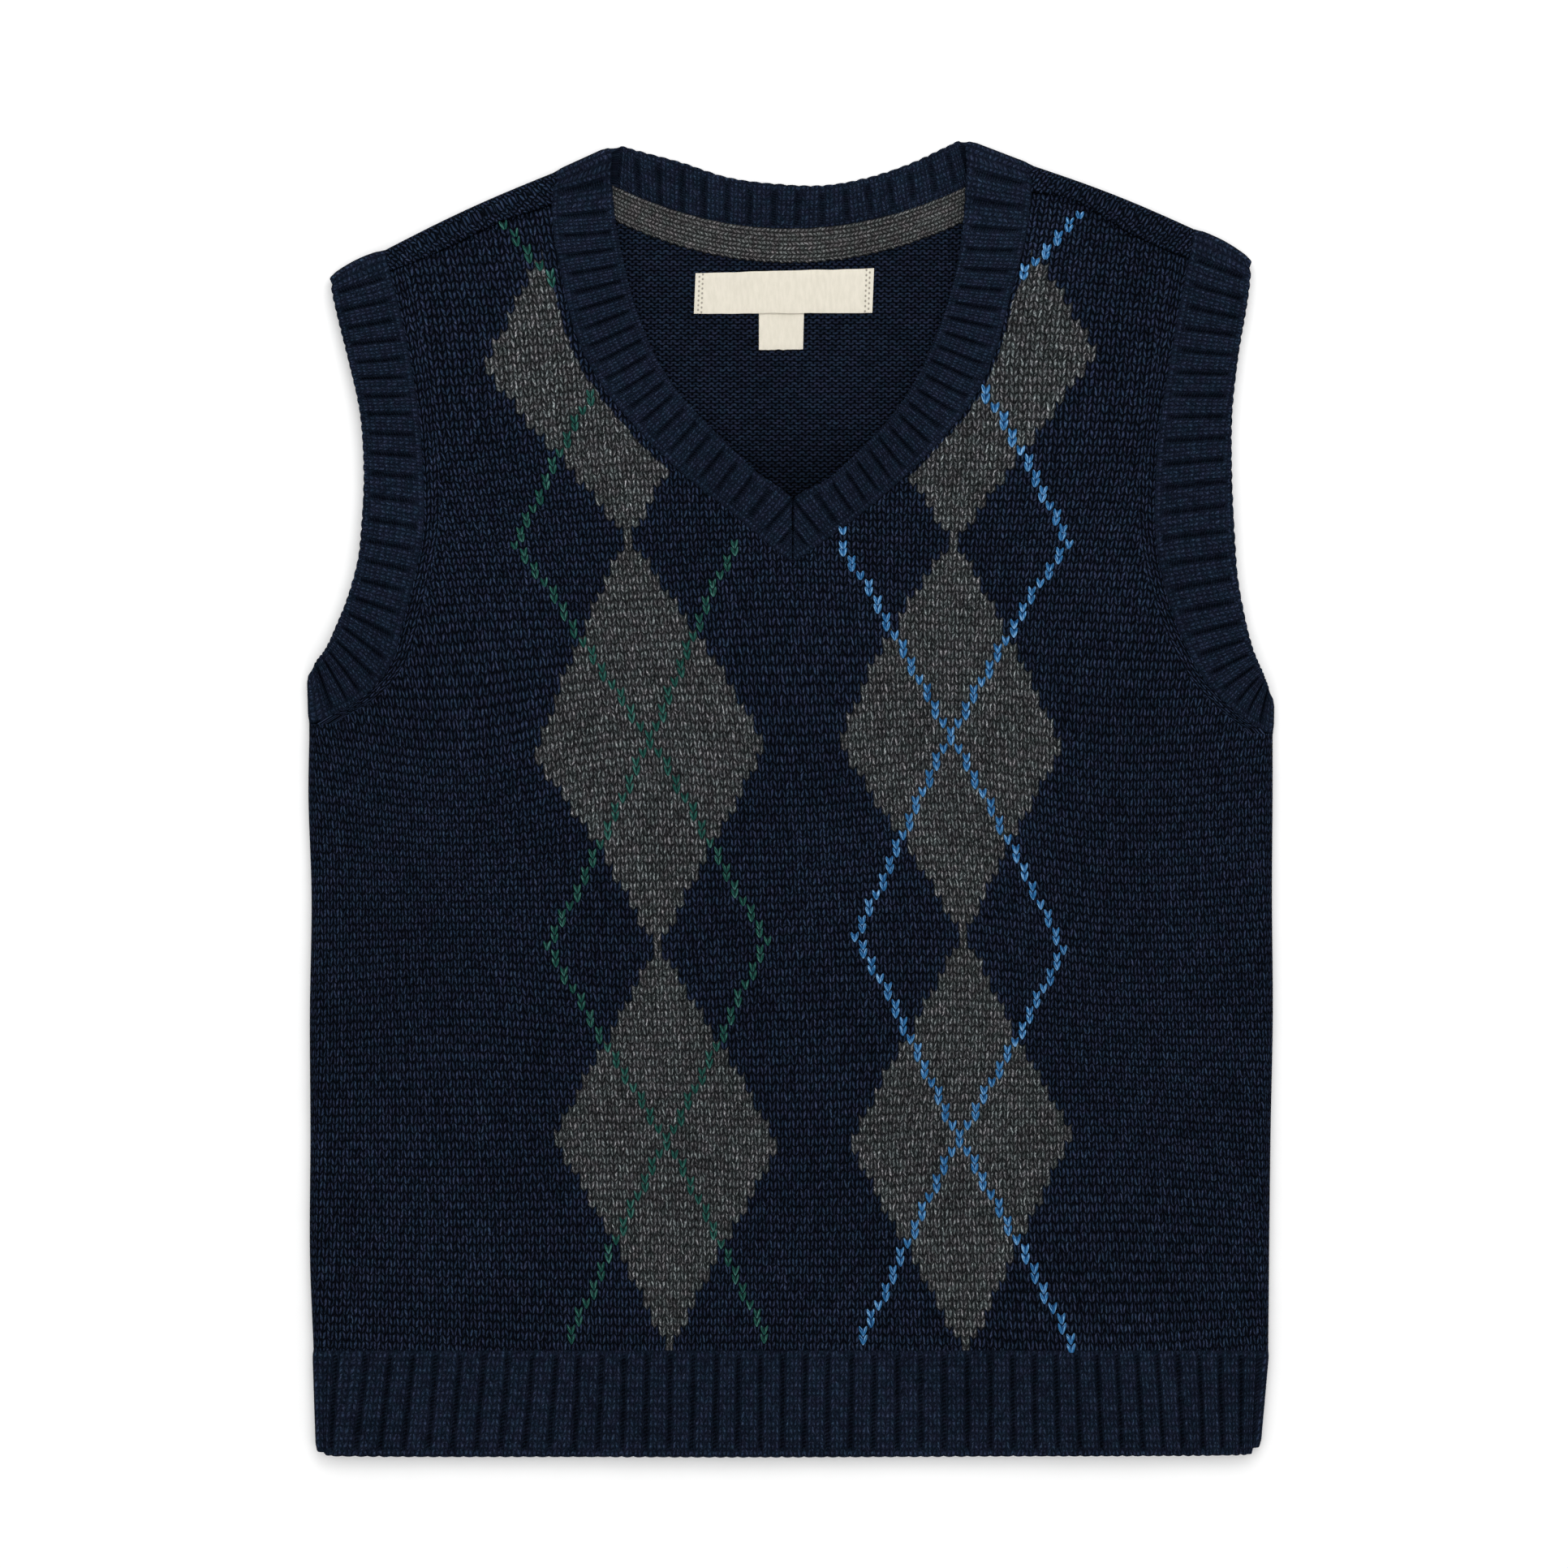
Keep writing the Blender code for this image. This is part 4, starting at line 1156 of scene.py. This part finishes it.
def rib_row(band, rib, height, row, layer=on_front, at_seam=AT_SEAM, rise=RIB_RISE):
    """A band's places across its width at a rib, on the front or the back layer."""
    seam, free = section(band, rib)
    width = (free - seam).length
    along = (section(band, rib + 0.3)[0] - section(band, rib - 0.3)[0]).normalized()
    reach = (free - seam).normalized()
    full = 1 + FULLER * wander(math.floor(rib) * 3.7, 0.5, row)
    swing = SWING + SWING_CHANCE * wander(rib * 1.7, 3.5, row)
    scallop = swing * (abs(math.sin(2 * math.pi * rib)) - 0.6)
    in_front = band in (NECK_LEFT, NECK_RIGHT)
    mitred = in_front and abs(free.x - CENTRE_X) < 0.5 * MM
    places = []
    for s, share, drawn, rim in band_places(width, at_seam, AT_MITRE if mitred else AT_EDGE):
        stray = STRAY * wander(rib * 0.9, s * 1.6, row)
        spot = seam.lerp(free, s) + along * stray * eased(0, 0.1, s)
        spot += reach * (scallop * eased(0.8, 1.0, s))
        if in_front:
            spot.x = (min if band is NECK_LEFT else max)(spot.x, CENTRE_X)
        relief = rise * height * share * full + drawn * MM
        places.append((*layer(spot, RIB_WALL, relief), (rib, s * width / row), rim))
    return places


def fold_rows(
    band, rib, out, angles, row, bow=0.0, turn=0.0, over=None, under=None, at_seam=AT_SEAM
):
    """A band's rows round a fold whose line is its section at that rib.

    Towards their ends on the upper and the lower layer they ease onto the rows given there."""
    seam, free = section(band, rib)
    width = (free - seam).length
    rows = []
    for angle in angles:
        onto = over if angle > 0 else under
        joined = EASED_OVER if onto is over else EASED_UNDER
        near = eased(0, joined, abs(angle))
        places = []
        for k, (s, share, drawn, rim) in enumerate(band_places(width, at_seam)):
            spot = seam.lerp(free, s) + out * bow * math.sin(math.pi * s)
            relief = FOLD_RELIEF * share * abs(math.cos(math.radians(angle)))
            relief += drawn * MM * 0.5
            pair = on_fold(spot, out, RIB_WALL, angle, relief)
            if onto:
                pair = [mine.lerp(other, near) for mine, other in zip(pair, onto[k])]
            rim = 0.0 if onto and onto is under else rim
            count = rib + turn * max(angle, 0) / 90, s * width / row
            places.append((*pair, count, rim))
        rows.append(places)
    return rows


HEM_ROW = 2.65 * MM
HEM_BACK_STEPS = 80
left, right = Vector((-1, 0)), Vector((1, 0))
last = HEM["rib"][-1]
bm = new_cloth()
rows = fold_rows(HEM, 0, left, UP_TO_FLAT, HEM_ROW, turn=FOLD_TURN, at_seam=AT_WELT)
for rib, height in rib_turns(NEAR_FOLD, last - NEAR_FOLD):
    rows.append(rib_row(HEM, rib, height, HEM_ROW, at_seam=AT_WELT))
rows += fold_rows(HEM, last, right, UP_TO_FLAT[::-1], HEM_ROW, turn=-FOLD_TURN, at_seam=AT_WELT)
lay(bm, rows)
hem_front = sew_up("hem_front", bm, "rib_knit", navy_rib, navy_rib, "hem_rib_front")
bm = new_cloth()
rows = fold_rows(HEM, 0, left, DOWN_TO_FLAT, HEM_ROW, at_seam=AT_WELT)
for rib in steps(NEAR_FOLD, last - NEAR_FOLD, HEM_BACK_STEPS):
    rows.append(rib_row(HEM, rib, 0.0, HEM_ROW, on_back, AT_WELT))
rows += fold_rows(HEM, last, right, DOWN_TO_FLAT[::-1], HEM_ROW, at_seam=AT_WELT)
lay(bm, rows)
hem_back = sew_up("hem_back", bm, "rib_knit", navy_rib, navy_rib, "hem_rib_back")

# ---------------------------------------------------------------------------------------------
# A ribbed strip is sewn round each armhole. It turns over the shoulder with the body, its ribs
# fan out under the arm, and its bound-off edge is free.
ARMHOLE_ROW = 1.9 * MM
BAND_BOW = 1.1 * MM
ARMHOLE_BACK_STEPS = 60


def armhole_band(name, side, node):
    band, _, side_out = SIDE[side]
    out = shoulder_out(side)
    last = band["rib"][-1]
    near_side = last - NEAR_SIDE
    ends = {
        "over": rib_row(band, near_side, -0.1, ARMHOLE_ROW),
        "under": rib_row(band, near_side, 0.0, ARMHOLE_ROW, on_back),
    }

    def at_side(angles):
        return fold_rows(band, last, side_out, angles, ARMHOLE_ROW, 0.0, -NEAR_SIDE, **ends)

    bm = new_cloth()
    rows = at_side(UP_TO_FLAT)
    for rib, height in reversed(rib_turns(NEAR_FOLD, near_side, LEANING_RIBS)):
        rows.append(rib_row(band, rib, height, ARMHOLE_ROW))
    rows += fold_rows(band, 0, out, ROUND_FOLD[::-1], ARMHOLE_ROW, BAND_BOW, FOLD_TURN)
    for rib in steps(NEAR_FOLD, near_side, ARMHOLE_BACK_STEPS):
        rows.append(rib_row(band, rib, 0.0, ARMHOLE_ROW, on_back))
    rows += at_side(DOWN_TO_FLAT[::-1])
    lay(bm, rows)
    piece = sew_up(name, bm, "rib_knit", navy_rib, navy_rib, node)


armhole_band("armhole_left", "left", "armhole_band_left")
armhole_band("armhole_right", "right", "armhole_band_right")

# ---------------------------------------------------------------------------------------------
# The neck band is one ribbed strip. Its two ends are sewn together in a mitre at the point of
# the V, and its ribs are cut off along that seam. At the back its inside shows.
NECK_ROW = 1.75 * MM
BACK_AT_SEAM = ((0, 0, 0, 1), (3.5, 0, 0, 1), (6.5, 0.2, 0, 0.6), (7.6, 0.7, 0, 0), (8.8, 1, 0, 0))
BACK_RISE = 0.95 * MM


def neck_front(band):
    """One side of the V, from its point to the flat part next to the shoulder fold."""
    turns = rib_turns(0, band["rib"][-1] - NEAR_FOLD, LEANING_RIBS)
    return [rib_row(band, rib, height, NECK_ROW) for rib, height in turns]


def neck_fold(side, angles, under):
    band, out = SIDE[side][1], shoulder_out(side)
    return fold_rows(band, band["rib"][-1], out, angles, NECK_ROW, 0.0, -FOLD_TURN, under=under)


back_rows = []
for rib, height in rib_turns(0, NECK_BACK["rib"][-1]):
    place = rib_row(NECK_BACK, rib, height, NECK_ROW, on_back, BACK_AT_SEAM, BACK_RISE)
    back_rows.append(place)
bm = new_cloth()
rows = neck_front(NECK_LEFT)
rows += neck_fold("left", ROUND_FOLD[::-1], back_rows[0])
rows += back_rows
rows += neck_fold("right", ROUND_FOLD, back_rows[-1])
rows += neck_front(NECK_RIGHT)[::-1]
lay(bm, rows)
neck_band = sew_up("neck", bm, "rib_knit", navy_rib, navy_rib, "neck_band")

# ---------------------------------------------------------------------------------------------
# A narrow tape of grey heather knit covers the seam inside the back of the neck. It runs along
# its own stitches and is sewn down on both edges.
TAPE_WIDTH, TAPE_LOW, TAPE_RISE = 12.3 * MM, 187.6 * MM, 3.9
TAPE_FROM, TAPE_TO, TAPE_WALL = -65 * MM, 63 * MM, 0.7 * MM
TAPE_WALES, TAPE_ROW = 4, 1.5 * MM
TAPE_STEPS = 256
TAPE_GAP = 0.1 * MM  # under the tape
ON_BACK = KNIT_WALL + 0.3 * MM  # level that lies just clear of the back's inside
SCALLOP, SCALLOP_LENGTH = 0.5 * MM, 3 * MM  # along the tape's lower edge
TAPE_LIFT = (  # share of the width, and millimetres that the cloth stands up there
    (0, -0.55), (0.03, -0.15), (0.08, 0.1), (0.16, 0), (0.3, 0.05), (0.45, 0),
    (0.6, 0.06), (0.75, 0), (0.86, 0.05), (0.93, 0.1), (0.98, -0.1), (1, -0.5),
)
TAPE = {
    "Colour": (0.093, 0.095, 0.097, 1), "Light": (0.41, 0.41, 0.41, 1), "Dark": GREY_DARK,
    "Flecks": 0.65, "Shades": 0.5, "Depth": 0.14,
}
tape_knit, tree, surface = new_material("Grey tape")
stitch = place_group(tree, plain_stitch, Stitches=stitch_count(tree), Uneven=0.35)
finish_knit(surface, cloudy(dyed(stitch, TAPE), 0.02, 0.08, 0.06), stitch["Height"], 0.4 * MM)
bm = new_cloth()
rows = []
for x in steps(TAPE_FROM, TAPE_TO, TAPE_STEPS):
    y = TAPE_LOW + TAPE_RISE * x * x
    slope = math.atan(2 * TAPE_RISE * x)
    scallop = SCALLOP * abs(math.sin(math.pi * x / SCALLOP_LENGTH))
    places = []
    for share, lift in TAPE_LIFT:
        edge = 0.25 * MM * noise.noise(Vector((x / (4 * MM), share, 0))) * (abs(share - 0.5) > 0.4)
        edge += scallop * (1 - eased(0, 0.12, share))
        top = Vector((x, y + TAPE_WIDTH * share + edge, ON_BACK + TAPE_WALL + lift * MM))
        low = Vector((top.x, top.y, KNIT_WALL + TAPE_GAP))
        places.append((top, low, (share * TAPE_WALES, x / math.cos(slope) / TAPE_ROW)))
    rows.append(places)
lay(bm, rows)
tape = sew_up("tape", bm, "grey_tape", tape_knit, tape_knit, "neck_tape")

# ---------------------------------------------------------------------------------------------
# Two bare woven labels, cream: a long one sewn down at its short ends, and a small tab whose top
# is held under it.
LABEL_SIZE, TAB_SIZE = (62.6 * MM, 15 * MM), (15.7 * MM, 15.2 * MM)
LABEL_CORNERS = ((-33.9, 170.0), (28.7, 170.3), (-33.3, 184.2), (29.3, 185.9))
TAB_CORNERS = ((-11.1, 157.3), (4.4, 157.5), (-11.1, 172.6), (4.8, 172.6))
LABEL_WALL = 0.5 * MM
OVER_TAB = LABEL_WALL + 0.3 * MM  # how much higher the long label lies over the tab
CREAM, CREAM_SLUB, CREAM_GAP_SHADE = (0.89, 0.835, 0.715, 1), (0.82, 0.77, 0.65, 1), (0.5, 0.45, 0.36, 1)
THREAD_AND_HOLE_SHADE = (0.16, 0.135, 0.10, 1)
label_cloth, tree, surface = new_material("Cream label", roughness=0.8, specular=0.1)
where = object_space(tree)
warp, weft = (
    add(tree, "TexWave", where, scale, 0.6, 1.0, output="Fac", bands_direction=way)
    for scale, way in ((1500.0, "X"), (2300.0, "Y"))
)
weave = warp * 0.6 + weft * 0.4
slub = grain(add(tree, "Mapping", where, None, None, (4.0, 1.0, 1.0)), 220.0, 3.0, 0.6)
tone = tint(tree, slub.ease(0.3, 0.7), CREAM_SLUB, CREAM)
# Painted shade in the gaps between the woven threads.
tone = tint(tree, weave.ease(0.1, 0.6, 0.12, 0.0), tone, CREAM_GAP_SHADE)
# Two rows of small sewing stitches hold the long label near each of its short ends, drawn as sunken
# dark dots: partly the thread's colour and partly painted shade in its needle holes. Their stitches
# are 1.75 mm apart.
along_label, across_label, _ = parts(stitch_count(tree))
from_end = LABEL_SIZE[0] / 2 / MM - abs(along_label)
second = from_end > 2.0
off = from_end - (second * 1.2 + 1.4)
along = (calc("FRACT", across_label / 1.75 + second * 0.5) - 0.5) * 1.4
sewn = calc("SQRT", off * off + along * along).ease(0.45, 0.22, 0.0, 0.7)
finish_knit(surface, tint(tree, sewn, tone, THREAD_AND_HOLE_SHADE), weave - sewn, 0.12 * MM)
LABEL_STEPS, LABEL_ROWS = 60, 14
FRAY, RIPPLE, ROUNDED = 0.2 * MM, 0.3 * MM, 0.18 * MM  # of an edge, of the face, at the rim


def label(name, corners, size, level, node):
    """A woven label; level gives the height of its underside along its length."""
    bm = new_cloth()
    low_left, low_right, high_left, high_right = (Vector(corner) * MM for corner in corners)
    rows = []
    for i in steps(-0.5, 0.5, LABEL_STEPS):
        low, high = low_left.lerp(low_right, i + 0.5), high_left.lerp(high_right, i + 0.5)
        places = []
        for j in steps(-0.5, 0.5, LABEL_ROWS):
            spot = low.lerp(high, j + 0.5)
            at_edge = abs(j) > 0.49
            edge = FRAY * noise.noise(Vector((i * 9, j * 4, 0))) * at_edge
            lift = RIPPLE * noise.noise(Vector((*spot, 0)) / (9 * MM)) * (1 - (2 * j) ** 6)
            lift -= ROUNDED * (at_edge or abs(i) > 0.499)
            under = Vector((spot.x, spot.y + edge, level(spot.x)))
            count = (size[0] * i / MM, size[1] * j / MM)
            places.append((under + Vector((0, 0, LABEL_WALL + lift)), under, count))
        rows.append(places)
    lay(bm, rows)
    return sew_up(name, bm, "label_tape", label_cloth, label_cloth, node)


def over_tab(x):
    """Height of the long label's underside, which lies over the top of the tab."""
    half = TAB_SIZE[0] / 2
    away = (abs(x - TAB_CORNERS[0][0] * MM - half) - half - 1.5 * MM) / (9 * MM)
    return ON_BACK + OVER_TAB * (1 - eased(0, 1, away))


long_label = label("label_long", LABEL_CORNERS, LABEL_SIZE, over_tab, "label")
tab = label("label_tab", TAB_CORNERS, TAB_SIZE, lambda x: ON_BACK, "size_tab")

# ---------------------------------------------------------------------------------------------
# The vest lies on a plain white table under soft light from overhead, seen from straight above.
FLOOR_SIZE, FLOOR_LEVEL = 4.0, -0.2 * MM
bm = bmesh.new()
bmesh.ops.create_grid(bm, x_segments=1, y_segments=1, size=FLOOR_SIZE)
bmesh.ops.translate(bm, verts=bm.verts, vec=(0, 0, FLOOR_LEVEL))
table_top, tree, surface = new_material("White table", roughness=0.9, specular=0.1)
mottle = grain(object_space(tree), 40.0, 3.0, 0.5).ease(0.3, 0.7)
white = tint(tree, mottle, (0.95, 0.95, 0.95, 1), (0.97, 0.97, 0.97, 1))
feed(tree, surface.inputs["Base Color"], white)
floor = new_piece("floor", bm, table_top)

world = bpy.data.worlds.new("Studio")
bpy.context.scene.world = world
world.use_nodes = True
world.node_tree.nodes["Background"].inputs["Color"].default_value = (1, 1, 1, 1)
world.node_tree.nodes["Background"].inputs["Strength"].default_value = 1.0

lamp = bpy.data.lights.new("overhead", "AREA")
lamp.shape, lamp.size, lamp.size_y, lamp.energy = "RECTANGLE", 0.8, 0.5, 2.6
softbox = bpy.data.objects.new("overhead", lamp)
softbox.location = (0.10, 0.58, 0.62)
aim = Vector((0, 0.17, 0))
softbox.rotation_mode = "QUATERNION"
softbox.rotation_quaternion = (aim - softbox.location).to_track_quat("-Z", "Y")
bpy.context.scene.collection.objects.link(softbox)

VIEW_WIDTH = 0.5496
VIEW_CENTRE = (-2.28 * MM, 4.98 * MM)
VIEW_LEVEL = 5 * MM  # the level at which the view is that wide
LENS, SENSOR = 120.0, 36.0
lens = bpy.data.cameras.new("camera")
lens.lens, lens.sensor_width = LENS, SENSOR
lens.clip_start, lens.clip_end = 0.05, 20
camera = bpy.data.objects.new("camera", lens)
camera.location = (*VIEW_CENTRE, VIEW_WIDTH * LENS / SENSOR + VIEW_LEVEL)
bpy.context.scene.collection.objects.link(camera)
bpy.context.scene.camera = camera
bpy.context.scene.view_settings.view_transform = "Standard"
bpy.context.scene.view_settings.look = "None"
